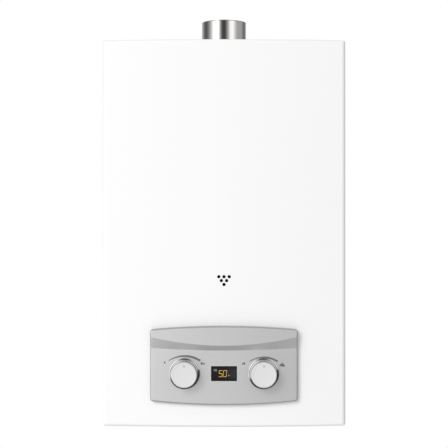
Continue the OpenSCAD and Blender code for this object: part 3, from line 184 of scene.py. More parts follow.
def buildGrainGroup():
    # soft clouds in the colour, and a finer grain that may be drawn out along one direction
    group, start, end = newGroup("cloudedGrain", "Color", "Shade", "Cloud Scale", "Grain Scale", "Stretch",
                                 "Roughness", "Spread")
    link = group.links.new
    coords = addNode(group, "ShaderNodeTexCoord")
    drawn = addNode(group, "ShaderNodeVectorMath", operation="MULTIPLY")
    link(coords.outputs["Object"], drawn.inputs[0])
    link(start.outputs["Stretch"], drawn.inputs[1])
    cloud = addNode(group, "ShaderNodeTexNoise")
    cloud.inputs["Detail"].default_value = 4
    link(coords.outputs["Object"], cloud.inputs["Vector"])
    link(start.outputs["Cloud Scale"], cloud.inputs["Scale"])
    grain = addNode(group, "ShaderNodeTexNoise")
    grain.inputs["Detail"].default_value = 2
    link(drawn.outputs[0], grain.inputs["Vector"])
    link(start.outputs["Grain Scale"], grain.inputs["Scale"])
    dull = mathNode(group, "MULTIPLY", cloud.outputs["Fac"], start.outputs["Shade"])
    fleck = mathNode(group, "MULTIPLY", mathNode(group, "SUBTRACT", grain.outputs["Fac"], 0.5),
                     start.outputs["Shade"])
    keep = mathNode(group, "SUBTRACT", mathNode(group, "SUBTRACT", 1.0, dull), fleck)
    tint = addNode(group, "ShaderNodeVectorMath", operation="SCALE")
    link(start.outputs["Color"], tint.inputs[0])
    link(keep, tint.inputs["Scale"])
    wide = mathNode(group, "MULTIPLY", mathNode(group, "SUBTRACT", cloud.outputs["Fac"], 0.5),
                    start.outputs["Spread"])
    rough = mathNode(group, "ADD", start.outputs["Roughness"], wide, clamp=True)
    link(tint.outputs[0], end.inputs["Color"])
    link(rough, end.inputs["Roughness"])
    link(grain.outputs["Fac"], end.inputs["Height"])
    return group


spangleRough = 0.6  # how much rougher the dark crystals are


def buildSpangleGroup():
    # the crystal flowers of hot-dip zinc
    group, start, end = newGroup("zincSpangle", "Color", "Contrast", "Scale", "Roughness")
    link = group.links.new
    coords = addNode(group, "ShaderNodeTexCoord")
    crystal = addNode(group, "ShaderNodeTexVoronoi")
    link(coords.outputs["Object"], crystal.inputs["Vector"])
    link(start.outputs["Scale"], crystal.inputs["Scale"])
    split = addNode(group, "ShaderNodeSeparateColor")
    link(crystal.outputs["Color"], split.inputs[0])
    part = mathNode(group, "MULTIPLY", split.outputs[0], start.outputs["Contrast"])
    tint = addNode(group, "ShaderNodeVectorMath", operation="SCALE")
    link(start.outputs["Color"], tint.inputs[0])
    link(mathNode(group, "SUBTRACT", 1.0, part), tint.inputs["Scale"])
    rough = mathNode(group, "MULTIPLY", part, spangleRough)
    link(tint.outputs[0], end.inputs["Color"])
    link(mathNode(group, "ADD", start.outputs["Roughness"], rough), end.inputs["Roughness"])
    link(crystal.outputs["Distance"], end.inputs["Height"])
    return group


grainGroup = buildGrainGroup()
spangleGroup = buildSpangleGroup()


def tone(color):  # an everyday screen colour as the shader wants it
    def linear(level):
        return ((level / 255 + 0.055) / 1.055) ** 2.4 if level > 10 else level / 255 / 12.92
    return tuple(linear(level) for level in color) + (1,)


# what a finish doesn't name is as usual
usual = {"shade": 0.3, "cloud": 60, "grain": 900, "stretch": (1, 1, 1), "rough": 0.5, "spread": 0.1,
         "metal": 0.0, "clear": 0.0, "bump": 0.05}
finishes = {
    "casingEnamel": {"color": (247, 247, 247), "shade": 0.012, "cloud": 5, "grain": 1400, "rough": 0.34,
                     "spread": 0.08},
    "zincSheet": {"color": (186, 190, 194), "spangle": 0.16, "scale": 120, "rough": 0.4, "metal": 0.5},
    "flueSteel": {"color": (238, 237, 235), "shade": 0.05, "cloud": 20, "grain": 60,
                  "stretch": (1, 1, 30), "rough": 0.1, "spread": 0.08, "metal": 1.0, "bump": 0.02},
    # painted shade: the rolled rim's dull dark grey stands in for the shade along the spigot's top edge
    "rimShadeGrey": {"color": (126, 126, 126), "shade": 0.08, "cloud": 30, "rough": 0.55, "bump": 0.02},
    "aluminisedSteel": {"color": (184, 187, 190), "spangle": 0.1, "scale": 400, "rough": 0.42,
                        "metal": 0.6},
    "castAlloy": {"color": (172, 174, 176), "shade": 0.16, "spread": 0.2, "metal": 0.5, "bump": 0.35},
    "copper": {"color": (226, 156, 124), "cloud": 18, "grain": 500, "rough": 0.32, "spread": 0.25,
               "metal": 0.9},
    "brass": {"color": (224, 192, 122), "shade": 0.2, "cloud": 30, "grain": 1200, "rough": 0.27,
              "spread": 0.2, "metal": 0.9, "bump": 0.06},
    "panelSilver": {"color": (231, 231, 231), "shade": 0.03, "cloud": 9, "grain": 3200, "rough": 0.42,
                    "spread": 0.06, "metal": 0.62, "bump": 0.04},
    "knobSilver": {"color": (223, 223, 223), "shade": 0.03, "cloud": 30, "grain": 2600, "rough": 0.33,
                   "spread": 0.06, "bump": 0.03},
    # painted shade: the panel's rounded edge is coloured darker to stand in for the shade along it
    "panelRimShade": {"color": (170, 170, 170), "shade": 0.05, "cloud": 9, "grain": 3200, "spread": 0.06,
                 "metal": 0.3, "bump": 0.04},
    "knobSkirt": {"color": (196, 197, 199), "shade": 0.06, "stretch": (1, 30, 1), "rough": 0.3,
                  "metal": 0.6, "bump": 0.03},
    "knobDot": {"color": (198, 198, 199), "shade": 0.05, "cloud": 300, "grain": 4000, "spread": 0.06,
                "bump": 0.03},
    "chromeTrim": {"color": (222, 223, 225), "shade": 0.05, "cloud": 40, "grain": 2000, "rough": 0.12,
                   "spread": 0.08, "metal": 1.0, "bump": 0.01},
    "displayBlack": {"color": (11, 12, 12), "shade": 0.2, "grain": 2000, "rough": 0.1, "spread": 0.05,
                     "bump": 0.01},
    "displayField": {"color": (6, 7, 6), "shade": 0.12, "cloud": 200, "grain": 3000, "rough": 0.19,
                     "spread": 0.05, "bump": 0.02},
    "amberLight": {"color": (60, 36, 8), "cloud": 300, "grain": 3000, "rough": 0.4, "spread": 0.05,
                   "bump": 0.02, "glow": (252, 200, 96)},
    "displayMark": {"color": (186, 187, 188), "shade": 0.1, "cloud": 300, "grain": 3000, "spread": 0.05,
                    "bump": 0.02},
    "markGrey": {"color": (112, 113, 115), "shade": 0.15, "cloud": 200, "grain": 4000, "rough": 0.55},
    "scaleGrey": {"color": (118, 119, 121), "shade": 0.15, "cloud": 120, "grain": 4000, "rough": 0.4},
    "blackPlastic": {"color": (34, 34, 36), "shade": 0.2, "cloud": 40, "grain": 2200, "spread": 0.15,
                     "bump": 0.2},
    "blackRubber": {"color": (38, 38, 38), "cloud": 50, "grain": 1500, "rough": 0.75, "spread": 0.2,
                    "bump": 0.2},
    "whiteCeramic": {"color": (236, 233, 226), "shade": 0.08, "cloud": 80, "grain": 2500, "rough": 0.3,
                     "spread": 0.15, "bump": 0.06},
    "creamPlastic": {"color": (228, 220, 198), "shade": 0.1, "cloud": 40, "grain": 2200, "rough": 0.42,
                     "spread": 0.15, "bump": 0.1},
    "sealGrey": {"color": (74, 74, 76), "shade": 0.25, "cloud": 50, "grain": 1300, "rough": 0.7,
                 "spread": 0.2, "bump": 0.25},
    "leadRed": {"color": (150, 40, 32), "shade": 0.15, "grain": 1500, "bump": 0.08},
    "hoseClear": {"color": (222, 214, 190), "shade": 0.12, "rough": 0.35, "bump": 0.03, "clear": 0.35},
    "mica": {"color": (214, 190, 148), "cloud": 120, "grain": 700, "rough": 0.12, "bump": 0.03,
             "clear": 0.7},
    "circuitBoard": {"color": (32, 92, 52), "shade": 0.4, "cloud": 220, "grain": 260,
                     "stretch": (1, 1, 8), "rough": 0.4, "spread": 0.2, "bump": 0.1},
    "polishedRod": {"color": (206, 207, 209), "shade": 0.06, "grain": 500, "stretch": (0.05, 1, 1),
                    "rough": 0.2, "spread": 0.15, "metal": 1.0, "bump": 0.03},
    "blackEnamel": {"color": (64, 66, 69), "shade": 0.2, "grain": 1200, "rough": 0.4, "spread": 0.15,
                    "metal": 0.4, "bump": 0.12},
    "windingTape": {"color": (30, 44, 84), "cloud": 90, "grain": 90, "stretch": (1, 1, 14), "rough": 0.45,
                    "spread": 0.15, "bump": 0.25},
}
grainDepth = 0.2 * mm


def buildFinish(name, own):
    spec = usual | own
    material = bpy.data.materials.new(name)
    material.use_nodes = True
    tree = material.node_tree
    shader = tree.nodes["Principled BSDF"]
    effect = addNode(tree, "ShaderNodeGroup")
    values = {"Color": tone(spec["color"]), "Roughness": spec["rough"]}
    if "spangle" in spec:
        effect.node_tree = spangleGroup
        values |= {"Contrast": spec["spangle"], "Scale": spec["scale"]}
    else:
        effect.node_tree = grainGroup
        values |= {"Shade": spec["shade"], "Cloud Scale": spec["cloud"], "Grain Scale": spec["grain"],
                   "Stretch": spec["stretch"], "Spread": spec["spread"]}
    for label, value in values.items():
        effect.inputs[label].default_value = value
    tree.links.new(effect.outputs["Color"], shader.inputs["Base Color"])
    tree.links.new(effect.outputs["Roughness"], shader.inputs["Roughness"])
    bump = addNode(tree, "ShaderNodeBump")
    bump.inputs["Strength"].default_value = spec["bump"]
    bump.inputs["Distance"].default_value = grainDepth
    tree.links.new(effect.outputs["Height"], bump.inputs["Height"])
    tree.links.new(bump.outputs["Normal"], shader.inputs["Normal"])
    shader.inputs["Metallic"].default_value = spec["metal"]
    shader.inputs["Transmission Weight"].default_value = spec["clear"]
    if "glow" in spec:
        shader.inputs["Emission Color"].default_value = tone(spec["glow"])
        shader.inputs["Emission Strength"].default_value = 1.0
    return material


materials = {name: buildFinish(name, own) for name, own in finishes.items()}

# what the nodes are made of, by finish
madeOf = {
    "casingEnamel": "front_cover top_plate bottom_plate",
    "zincSheet": "back_plate core_brackets valve_bracket",
    "polishedRod": "cover_screws fan_shaft solenoid_plunger push_rod rod_spring switch_lever "
                   "panel_screws",
    "flueSteel": "flue_collar",
    "sealGrey": "flue_seal",
    "aluminisedSteel": "fan_housing fan_wheel exhaust_hood burner_bars burner_tray",
    "blackEnamel": "fan_motor power_box",
    "copper": "exchanger_case exchanger_fins exchanger_pipes combustion_chamber wrap_pipe hot_pipe",
    "mica": "sight_glass",
    "castAlloy": "gas_manifold gas_valve_body",
    "brass": "gas_nozzles gas_inlet water_valve_body diaphragm_cover cold_inlet hot_outlet drain_plug "
             "water_spindle gas_spindle",
    "windingTape": "gas_solenoid",
    "blackPlastic": "microswitch ignition_box cable_gland overheat_cutout",
    "creamPlastic": "inlet_filter pressure_switch",
    "blackRubber": "pipe_grommets",
    "panelSilver": "control_panel",
    "displayBlack": "display_lens",
    "circuitBoard": "display_board",
    "knobSilver": "water_knob gas_knob",
    "chromeTrim": "water_bezel gas_bezel",
    "whiteCeramic": "ignition_electrode flame_sensor",
    "leadRed": "ignition_lead",
    "hoseClear": "pressure_hose",
}
for finish, names in madeOf.items():
    for name in names.split():
        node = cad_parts[name]
        node.data.materials.clear()
        node.data.materials.append(materials[finish])
print("finishes built:", len(materials))


# workshop helpers
def deselectAll():
    if bpy.context.object and bpy.context.object.mode != "OBJECT":
        bpy.ops.object.mode_set(mode="OBJECT")
    bpy.ops.object.select_all(action="DESELECT")


def take(piece):
    deselectAll()
    piece.select_set(True)
    bpy.context.view_layer.objects.active = piece


def settle(piece):  # moves the piece's place into its mesh
    take(piece)
    bpy.ops.object.transform_apply(location=True, rotation=True, scale=True)


def modify(piece, kind, **values):
    take(piece)
    modifier = piece.modifiers.new(kind.lower(), kind)
    for key, value in values.items():
        setattr(modifier, key, value)
    bpy.ops.object.modifier_apply(modifier=modifier.name)


def cut(piece, tool, operation="DIFFERENCE"):  # uses the tool up
    modify(piece, "BOOLEAN", operation=operation, object=tool, solver="EXACT")
    bpy.data.objects.remove(tool)


def roundEdges(piece, width, segments):
    modify(piece, "BEVEL", width=width, segments=segments, limit_method="ANGLE")


def smooth(piece, degrees=35):
    take(piece)
    bpy.ops.object.shade_smooth_by_angle(angle=math.radians(degrees))


def faceOutwards(piece, near=0.0):  # merges points nearer than that, and turns the faces outwards
    take(piece)
    bpy.ops.object.mode_set(mode="EDIT")
    bpy.ops.mesh.select_all(action="SELECT")
    if near:
        bpy.ops.mesh.remove_doubles(threshold=near)
    bpy.ops.mesh.normals_make_consistent(inside=False)
    bpy.ops.object.mode_set(mode="OBJECT")


def finishPiece(piece, name, finish, slot, body, *stands):
    piece.name = name
    piece.data.name = name
    piece.data.materials.clear()
    piece.data.materials.append(materials[finish])
    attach(piece, body)
    if stands:
        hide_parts(*stands)


def coat(piece, finish, chosen):  # gives the faces that chosen() picks a second finish
    piece.data.materials.append(materials[finish])
    for polygon in piece.data.polygons:
        if chosen(polygon):
            polygon.material_index = len(piece.data.materials) - 1


def copyPiece(piece, matrix):
    twin = piece.copy()
    twin.data = piece.data.copy()
    twin.data.transform(matrix)
    bpy.context.scene.collection.objects.link(twin)
    return twin


def newCube(place, size, tilt=(0, 0, 0)):
    deselectAll()
    bpy.ops.mesh.primitive_cube_add(size=1, location=place)
    cube = bpy.context.object
    cube.scale = size
    cube.rotation_euler = tilt
    settle(cube)
    return cube


def newCylinder(place, radius, tall, sides, tilt=(0, 0, 0)):
    deselectAll()
    bpy.ops.mesh.primitive_cylinder_add(vertices=sides, radius=radius, depth=tall, location=place,
                                        rotation=tilt)
    cylinder = bpy.context.object
    settle(cylinder)
    return cylinder


def meshPiece(name, points, faces):
    mesh = bpy.data.meshes.new(name)
    mesh.from_pydata(points, [], faces)
    piece = bpy.data.objects.new(name, mesh)
    bpy.context.scene.collection.objects.link(piece)
    return piece


touching = 1e-6  # points nearer than this are one
facing = (math.radians(90), 0, 0)  # tilts an upright axis to the front


def turned(profile, centre, sides=96):
    # a circle is extruded and scaled ring by ring; the profile holds each ring's radius and how far
    # forward it lies, in millimetres
    profile = [(radius * mm, forward * mm) for radius, forward in profile]
    radius, forward = profile[0]
    deselectAll()
    bpy.ops.mesh.primitive_circle_add(vertices=sides, radius=radius, fill_type="NOTHING", rotation=facing,
                                      location=(centre[0], centre[1] - forward, centre[2]))
    piece = bpy.context.object
    settle(piece)
    bpy.ops.object.mode_set(mode="EDIT")
    bpy.ops.mesh.select_mode(type="EDGE")
    bpy.ops.mesh.select_all(action="SELECT")
    for nextRadius, nextForward in profile[1:]:
        bpy.ops.mesh.extrude_region_move(TRANSFORM_OT_translate={"value": (0, forward - nextForward, 0)})
        share = nextRadius / radius
        bpy.ops.transform.resize(value=(share, 1, share), center_override=centre)
        radius, forward = nextRadius, nextForward
    faceOutwards(piece, touching)
    return piece


def closeEnds(piece):  # fills the open rings of a turned piece
    take(piece)
    bpy.ops.object.mode_set(mode="EDIT")
    bpy.ops.mesh.select_mode(type="EDGE")
    bpy.ops.mesh.select_all(action="SELECT")
    bpy.ops.mesh.fill_holes(sides=0)
    faceOutwards(piece)


# control panel
panel = {
    "width": 189.5 * mm, "height": 101 * mm, "middle": -169.8 * mm, "bow": 4.6 * mm, "proud": 7 * mm,
    "edge": 1.8 * mm, "corner": 3 * mm, "wall": 2.2 * mm, "gap": 0.12 * mm,
    # the brow: its rise, its crest and foot at the middle and at the sides, and how soft its corners are
    "brow": 3 * mm, "crest": (25.8 * mm, 37.0 * mm), "foot": (19.5 * mm, 22.3 * mm), "soft": 0.35 * mm,
    "columns": 96, "rows": 84, "rowGap": 0.4 * mm,
    # openings for the knobs and the window, and how long their cutters are
    "knobX": 50.7 * mm, "knobZ": -180 * mm, "seat": 19.8 * mm, "seatDepth": -164.21 * mm, "bore": 6 * mm,
    "boreDepth": -150 * mm, "window": (33.4 * mm, 19.4 * mm), "windowDepth": -160 * mm,
    "knobCutter": 30 * mm, "windowCutter": 40 * mm,
    # the rim painted darker as painted shade along the rounded edge: how far under the face it begins, and
    # how far in from the outline
    "rimDrop": 0.35 * mm, "rimShare": 0.8,
}


def browLine(line, x):  # how high over the middle the brow's foot or crest lies
    return panel[line][0] + (panel[line][1] - panel[line][0]) * (x / (panel["width"] / 2)) ** 2


def browRise(x, z):
    foot, crest, soft = browLine("foot", x), browLine("crest", x), panel["soft"]
    slope = panel["brow"] / (crest - foot)

    def bend(above):  # a straight corner eased over a short way
        return max(0, above) if abs(above) > soft else (above + soft) ** 2 / (4 * soft)
    return slope * (bend(z - foot) - bend(z - crest))


def panelEdge(x):
    half = panel["width"] / 2
    return panel["height"] / 2 - panel["bow"] * (x / half) ** 2


def panelFaceY(x, z, lift=0.0):  # z is measured from the panel's middle
    half, corner, edge = panel["width"] / 2, panel["corner"], panel["edge"]
    sideWay, endWay = half - abs(x), panelEdge(x) - abs(z)
    if sideWay < corner and endWay < corner:
        away = corner - math.hypot(corner - sideWay, corner - endWay)
    else:
        away = min(sideWay, endWay)
    short = edge - min(max(away, 0), edge)
    drop = edge - math.sqrt(edge * edge - short * short)
    return skinY(x, panel["proud"] + browRise(x, z) - drop + lift)


def spacedShares(ways, count, length):  # grid lines crowded at both ends, even between them
    ends = [way / length for way in ways]
    inner = [ends[-1] + (1 - 2 * ends[-1]) * i / (count + 1) for i in range(1, count + 1)]
    return ends + inner + [1 - way for way in reversed(ends)]


def panelRows(ways):  # even rows, with a close set along the brow's foot and crest
    half = panel["height"] / 2
    steps = (-1, -0.5, 0, 0.5, 1)
    close = [panel[line][0] + panel["soft"] * step for line in ("foot", "crest") for step in steps]
    even = [(share * 2 - 1) * half for share in spacedShares(ways, panel["rows"], panel["height"])]
    return sorted(close + [z for z in even if min(abs(z - mark) for mark in close) > panel["rowGap"]])


def rowHeight(x, z, top):  # a row's height at the centre line, moved to where it runs at x
    half, edge = panel["height"] / 2, panel["edge"]
    here = (-half, -half + edge, browLine("foot", 0), browLine("crest", 0), half - edge, half)
    there = (-top, -top + edge, browLine("foot", x), browLine("crest", x), top - edge, top)
    for i in range(5):
        if z <= here[i + 1] or i == 4:
            return there[i] + (z - here[i]) * (there[i + 1] - there[i]) / (here[i + 1] - here[i])


def panelSheet():
    # the rounded edge has a grid line at every 15 degrees
    ways = [panel["edge"] * (1 - math.cos(math.radians(15 * i))) for i in range(7)]
    columns = spacedShares(ways, panel["columns"], panel["width"])
    rows = panelRows(ways)
    deselectAll()
    bpy.ops.mesh.primitive_grid_add(x_subdivisions=len(columns) - 1, y_subdivisions=len(rows) - 1, size=1)
    piece = bpy.context.object
    half, corner = panel["width"] / 2, panel["corner"]
    for vertex in piece.data.vertices:
        column = round((vertex.co.x + 0.5) * (len(columns) - 1))
        row = round((vertex.co.y + 0.5) * (len(rows) - 1))
        x = (columns[column] - 0.5) * panel["width"]
        cutBack = corner - min(half - abs(x), corner)
        top = panelEdge(x) - corner + math.sqrt(corner * corner - cutBack * cutBack)
        z = rowHeight(x, rows[row], top)
        vertex.co = (x, panelFaceY(x, z), panel["middle"] + z)
    # the outline is drawn back to the casing
    bpy.ops.object.mode_set(mode="EDIT")
    bpy.ops.mesh.select_all(action="SELECT")
    bpy.ops.mesh.select_mode(type="EDGE")
    bpy.ops.mesh.region_to_loop()
    bpy.ops.mesh.extrude_edges_move()
    bpy.ops.object.mode_set(mode="OBJECT")
    for vertex in piece.data.vertices:
        if vertex.select:
            vertex.co.y = skinY(vertex.co.x, panel["gap"])
    return piece


# picks the rounded edge faces that get the painted shade
def onShadedPanelRim(polygon):
    x, y, z = polygon.center
    inward = min(panel["width"] / 2 - abs(x), panelEdge(x) - abs(z - panel["middle"]))
    return y > skinY(x, panel["proud"] - panel["rimDrop"]) or inward < panel["rimShare"] * panel["edge"]


def buildPanel():
    piece = panelSheet()
    modify(piece, "SOLIDIFY", thickness=panel["wall"], offset=-1)
    cutter = panel["knobCutter"]
    for side in (-1, 1):
        for radius, depth in ((panel["seat"], panel["seatDepth"]), (panel["bore"], panel["boreDepth"])):
            place = (side * panel["knobX"], depth - cutter / 2, panel["knobZ"])
            cut(piece, newCylinder(place, radius, cutter, 96, facing))
    wide, tall = panel["window"]
    cut(piece, newCube((0, panel["windowDepth"], panel["knobZ"]), (wide, panel["windowCutter"], tall)))
    smooth(piece, 30)
    finishPiece(piece, "panelMoulding", "panelSilver", "panel_silver", "root", "control_panel")
    # the rounded edge gets a darker colour as painted shade
    coat(piece, "panelRimShade", onShadedPanelRim)


buildPanel()
print("panel moulded")


# knobs and their rings
knob = {
    "seatDepth": -165.675 * mm,
    # from the spindle's bore round the outside to the dished face
    "profile": ((3.1, 13.5), (3.1, 0.6), (5.9, 0.6), (5.9, 12.4), (14.2, 12.4), (14.2, 0.0), (17.3, 0.0),
                (17.9, 0.35), (18.0, 0.9), (18.0, 2.3), (17.85, 2.5), (17.1, 2.95), (16.95, 3.0),
                (16.9, 3.3), (17.0, 3.45), (16.95, 3.8), (16.35, 14.6), (16.2, 15.4), (15.85, 16.3),
                (15.35, 16.8), (14.8, 17.0), (14.35, 16.95), (13.95, 16.7), (13.5, 16.52), (12.8, 16.46)),
    # the sides' finishes: how far forward each reaches, and from what radius outwards
    "coats": (("knobSkirt", 15.2, 16.1), ("chromeTrim", 3.1, 16.9)),
    "dot": {"rise": 11.2, "profile": ((1.53, 16.12), (1.7, 16.37), (1.7, 16.56), (1.496, 16.62))},
    # the ring stands on the panel's sunk seat
    "ringDepth": -164.31 * mm,
    "ring": ((18.42, 0.0), (19.7, 0.0), (19.7, 3.05), (19.62, 3.16), (18.76, 3.62), (18.6, 3.66),
             (18.48, 3.6), (18.42, 3.5), (18.42, 0.0)),
}


def buildKnob(side, spot, body, node, ringNode):
    centre = (side * panel["knobX"], knob["seatDepth"], panel["knobZ"])
    cap = turned(knob["profile"], centre)
    closeEnds(cap)
    smooth(cap, 40)
    finishPiece(cap, spot + "KnobCap", "knobSilver", "knob_silver", body, node)
    for finish, forward, outward in knob["coats"]:
        coat(cap, finish, lambda polygon: polygon.center.y > centre[1] - forward * mm
             and math.hypot(polygon.center.x - centre[0], polygon.center.z - centre[2]) > outward * mm)
    dot = turned(knob["dot"]["profile"], (centre[0], centre[1], centre[2] + knob["dot"]["rise"] * mm), 40)
    closeEnds(dot)
    smooth(dot, 40)
    finishPiece(dot, spot + "KnobDot", "knobDot", "knob_silver", body)
    ring = turned(knob["ring"], (centre[0], knob["ringDepth"], centre[2]), 128)
    smooth(ring, 24)
    finishPiece(ring, spot + "KnobRing", "chromeTrim", "chrome_trim", "root", ringNode)


buildKnob(-1, "water", "water_dial", "water_knob", "water_bezel")
buildKnob(1, "gas", "gas_dial", "gas_knob", "gas_bezel")
print("knobs and rings turned")


# marks on the panel
stripRoot = 0.05 * mm  # how far a strip reaches under the face it lies on


def strip(name, firstEdge, secondEdge, yAt, thick):
    # a thin raised strip between two lines of (x, z) points; yAt gives the face it lies on
    count = len(firstEdge)
    points = []
    for lift in (thick, -stripRoot):
        for edge in (firstEdge, secondEdge):
            points += [(x, yAt(x, z) - lift, z) for x, z in edge]
    faces = []
    for i in range(count - 1):
        faces.append((i, i + 1, count + i + 1, count + i))
        faces.append((2 * count + i, 3 * count + i, 3 * count + i + 1, 2 * count + i + 1))
        faces.append((i, 2 * count + i, 2 * count + i + 1, i + 1))
        faces.append((count + i, count + i + 1, 3 * count + i + 1, 3 * count + i))
    faces.append((0, count, 3 * count, 2 * count))
    faces.append((count - 1, 3 * count - 1, 4 * count - 1, 2 * count - 1))
    piece = meshPiece(name, points, faces)
    faceOutwards(piece)
    return piece


def onPanel(x, z):
    return panelFaceY(x, z - panel["middle"])


def joined(pieces, name, finish, slot, body, *stands):
    deselectAll()
    for piece in pieces:
        piece.select_set(True)
    bpy.context.view_layer.objects.active = pieces[0]
    bpy.ops.object.join()
    smooth(pieces[0], 30)
    finishPiece(pieces[0], name, finish, slot, body, *stands)


scales = {
    # an arc reaches so many degrees to each side, and grows from its first width to its second
    "thick": 0.12 * mm, "half": 33.0, "steps": 40, "growth": 1.7,
    "water": {"x": -panel["knobX"], "radius": 37.2 * mm, "below": 14.8 * mm, "width": (0.8 * mm, 2.8 * mm)},
    "gas": {"x": panel["knobX"], "radius": 33.4 * mm, "below": 12.6 * mm, "width": (0.7 * mm, 2.2 * mm)},
}


def buildScale(spot):
    spec = scales[spot]
    thin, broad = spec["width"]
    inner, outer = [], []
    for i in range(scales["steps"] + 1):
        share = i / scales["steps"]
        angle = math.radians((2 * share - 1) * scales["half"])
        width = thin + (broad - thin) * min(1, share * scales["growth"])
        for edge, radius in ((inner, spec["radius"] - width / 2), (outer, spec["radius"] + width / 2)):
            edge.append((spec["x"] + radius * math.sin(angle),
                         panel["knobZ"] - spec["below"] + radius * math.cos(angle)))
    piece = strip(spot + "Scale", inner, outer, onPanel, scales["thick"])
    smooth(piece, 30)
    finishPiece(piece, spot + "Scale", "scaleGrey", "black_plastic", "root")


for spot in ("water", "gas"):
    buildScale(spot)

# flames and drops beside the scales: at shares of the height, how far they reach left and right
flameShape = ((0.0, -0.10, 0.12), (0.08, -0.24, 0.24), (0.22, -0.33, 0.33), (0.38, -0.33, 0.34),
              (0.52, -0.25, 0.29), (0.66, -0.14, 0.20), (0.80, -0.09, 0.09), (0.92, -0.08, 0.01),
              (1.0, -0.09, -0.05))
dropShape = ((0.0, -0.08, 0.08), (0.08, -0.24, 0.24), (0.22, -0.33, 0.33), (0.38, -0.34, 0.34),
             (0.54, -0.26, 0.26), (0.70, -0.15, 0.15), (0.86, -0.06, 0.06), (1.0, -0.01, 0.01))
# each sign is one or more of them side by side: (across, up, height) in millimetres
signs = {
    "smallFlame": {"x": 25.0 * mm, "z": -168.6 * mm, "shape": flameShape,
                   "marks": ((-1.1, 0.0, 2.5), (0.9, 0.1, 4.0))},
    "largeFlame": {"x": 74.2 * mm, "z": -171.2 * mm, "shape": flameShape,
                   "marks": ((-1.9, 0.5, 3.4), (0.6, 0.0, 5.8), (2.9, -0.2, 3.0))},
    "smallDrop": {"x": -76.0 * mm, "z": -167.4 * mm, "shape": dropShape, "marks": ((0.0, 0.0, 3.2),)},
    "largeDrop": {"x": -27.6 * mm, "z": -168.6 * mm, "shape": dropShape,
                  "marks": ((-1.0, 0.0, 4.4), (2.0, 0.0, 3.2))},
}


def buildSigns():
    for name, sign in signs.items():
        marks = []
        for across, up, height in sign["marks"]:
            x, z, tall = sign["x"] + across * mm, sign["z"] + up * mm, height * mm
            left = [(x + reach * tall, z + share * tall) for share, reach, _ in sign["shape"]]
            right = [(x + reach * tall, z + share * tall) for share, _, reach in sign["shape"]]
            marks.append(strip(name, left, right, onPanel, scales["thick"]))
        joined(marks, name, "markGrey", "black_plastic", "root")


buildSigns()
print("scales and signs laid on the panel")

# display
display = {
    "face": -166.1 * mm, "back": -163.2 * mm, "size": (33.0 * mm, 19.0 * mm), "border": 1.5 * mm,
    "sunk": 0.25 * mm, "rounding": 0.22 * mm,
    # a digit is made of bars; tip, taper and upright trim are shares of a bar's width
    "number": "50", "tall": 8.4 * mm, "wide": 4.5 * mm, "bar": 0.48 * mm, "gap": 0.12 * mm,
    "tip": 0.05, "taper": 0.35, "uprightTrim": 0.2, "slant": 0.08, "firstX": -6.6 * mm,
    "pitch": 5.6 * mm, "raised": 0.1 * mm,
    # which bars are lit, named from the top clockwise, then the middle one
    "lit": {"5": "acdfg", "0": "abcdef"},
    # a small ring for degrees beside the number
    "degree": {"x": 6.3 * mm, "down": 2.3 * mm,
               "profile": ((0.42, 0.0), (0.75, 0.0), (0.75, 0.08), (0.42, 0.08), (0.42, 0.0))},
    # three short waves stand for water, upper left in the window
    "waves": {"rows": 3, "steps": 24, "x": -13.2 * mm, "step": 0.17 * mm, "up": 5.4 * mm,
              "apart": 0.95 * mm, "swings": 2, "swing": 0.2 * mm, "half": 0.17 * mm,
              "raised": 0.06 * mm},
    # a thin bright trim round the window
    "trim": {"wide": 0.55 * mm, "proud": 0.12 * mm, "sunk": 0.3 * mm, "rounding": 0.15 * mm},
}
field = display["face"] + display["sunk"]


def onField(x, z):
    return field


def buildWindow():
    wide, tall = display["size"]
    deep = display["back"] - display["face"]
    window = newCube((0, display["face"] + deep / 2, panel["knobZ"]), (wide, deep, tall))
    bpy.ops.object.mode_set(mode="EDIT")
    bpy.ops.mesh.select_mode(type="FACE")
    bpy.ops.mesh.select_all(action="DESELECT")
    bpy.ops.object.mode_set(mode="OBJECT")
    for polygon in window.data.polygons:
        polygon.select = polygon.normal.y < -0.9
    bpy.ops.object.mode_set(mode="EDIT")
    bpy.ops.mesh.inset(thickness=display["border"])
    bpy.ops.mesh.extrude_region_move(TRANSFORM_OT_translate={"value": (0, display["sunk"], 0)})
    bpy.ops.object.mode_set(mode="OBJECT")
    finishPiece(window, "displayWindow", "displayBlack", "display_black", "root", "display_lens")
    coat(window, "displayField", lambda polygon: polygon.select)
    roundEdges(window, display["rounding"], 3)
    smooth(window)


def buildBar(x, z, length, upright):
    bar = display["bar"]
    reach = length / 2 - display["gap"] - (display["uprightTrim"] * bar if upright else 0)
    inner = reach - display["taper"] * bar
    stations = ((-reach, display["tip"] * bar), (-inner, bar / 2), (inner, bar / 2),
                (reach, display["tip"] * bar))
    edges = []
    for side in (-1, 1):
        if upright:
            edge = [(x + side * half, z + along) for along, half in stations]
        else:
            edge = [(x + along, z + side * half) for along, half in stations]
        edges.append([(x + (z - panel["knobZ"]) * display["slant"], z) for x, z in edge])
    return strip("bar", edges[0], edges[1], onField, display["raised"])


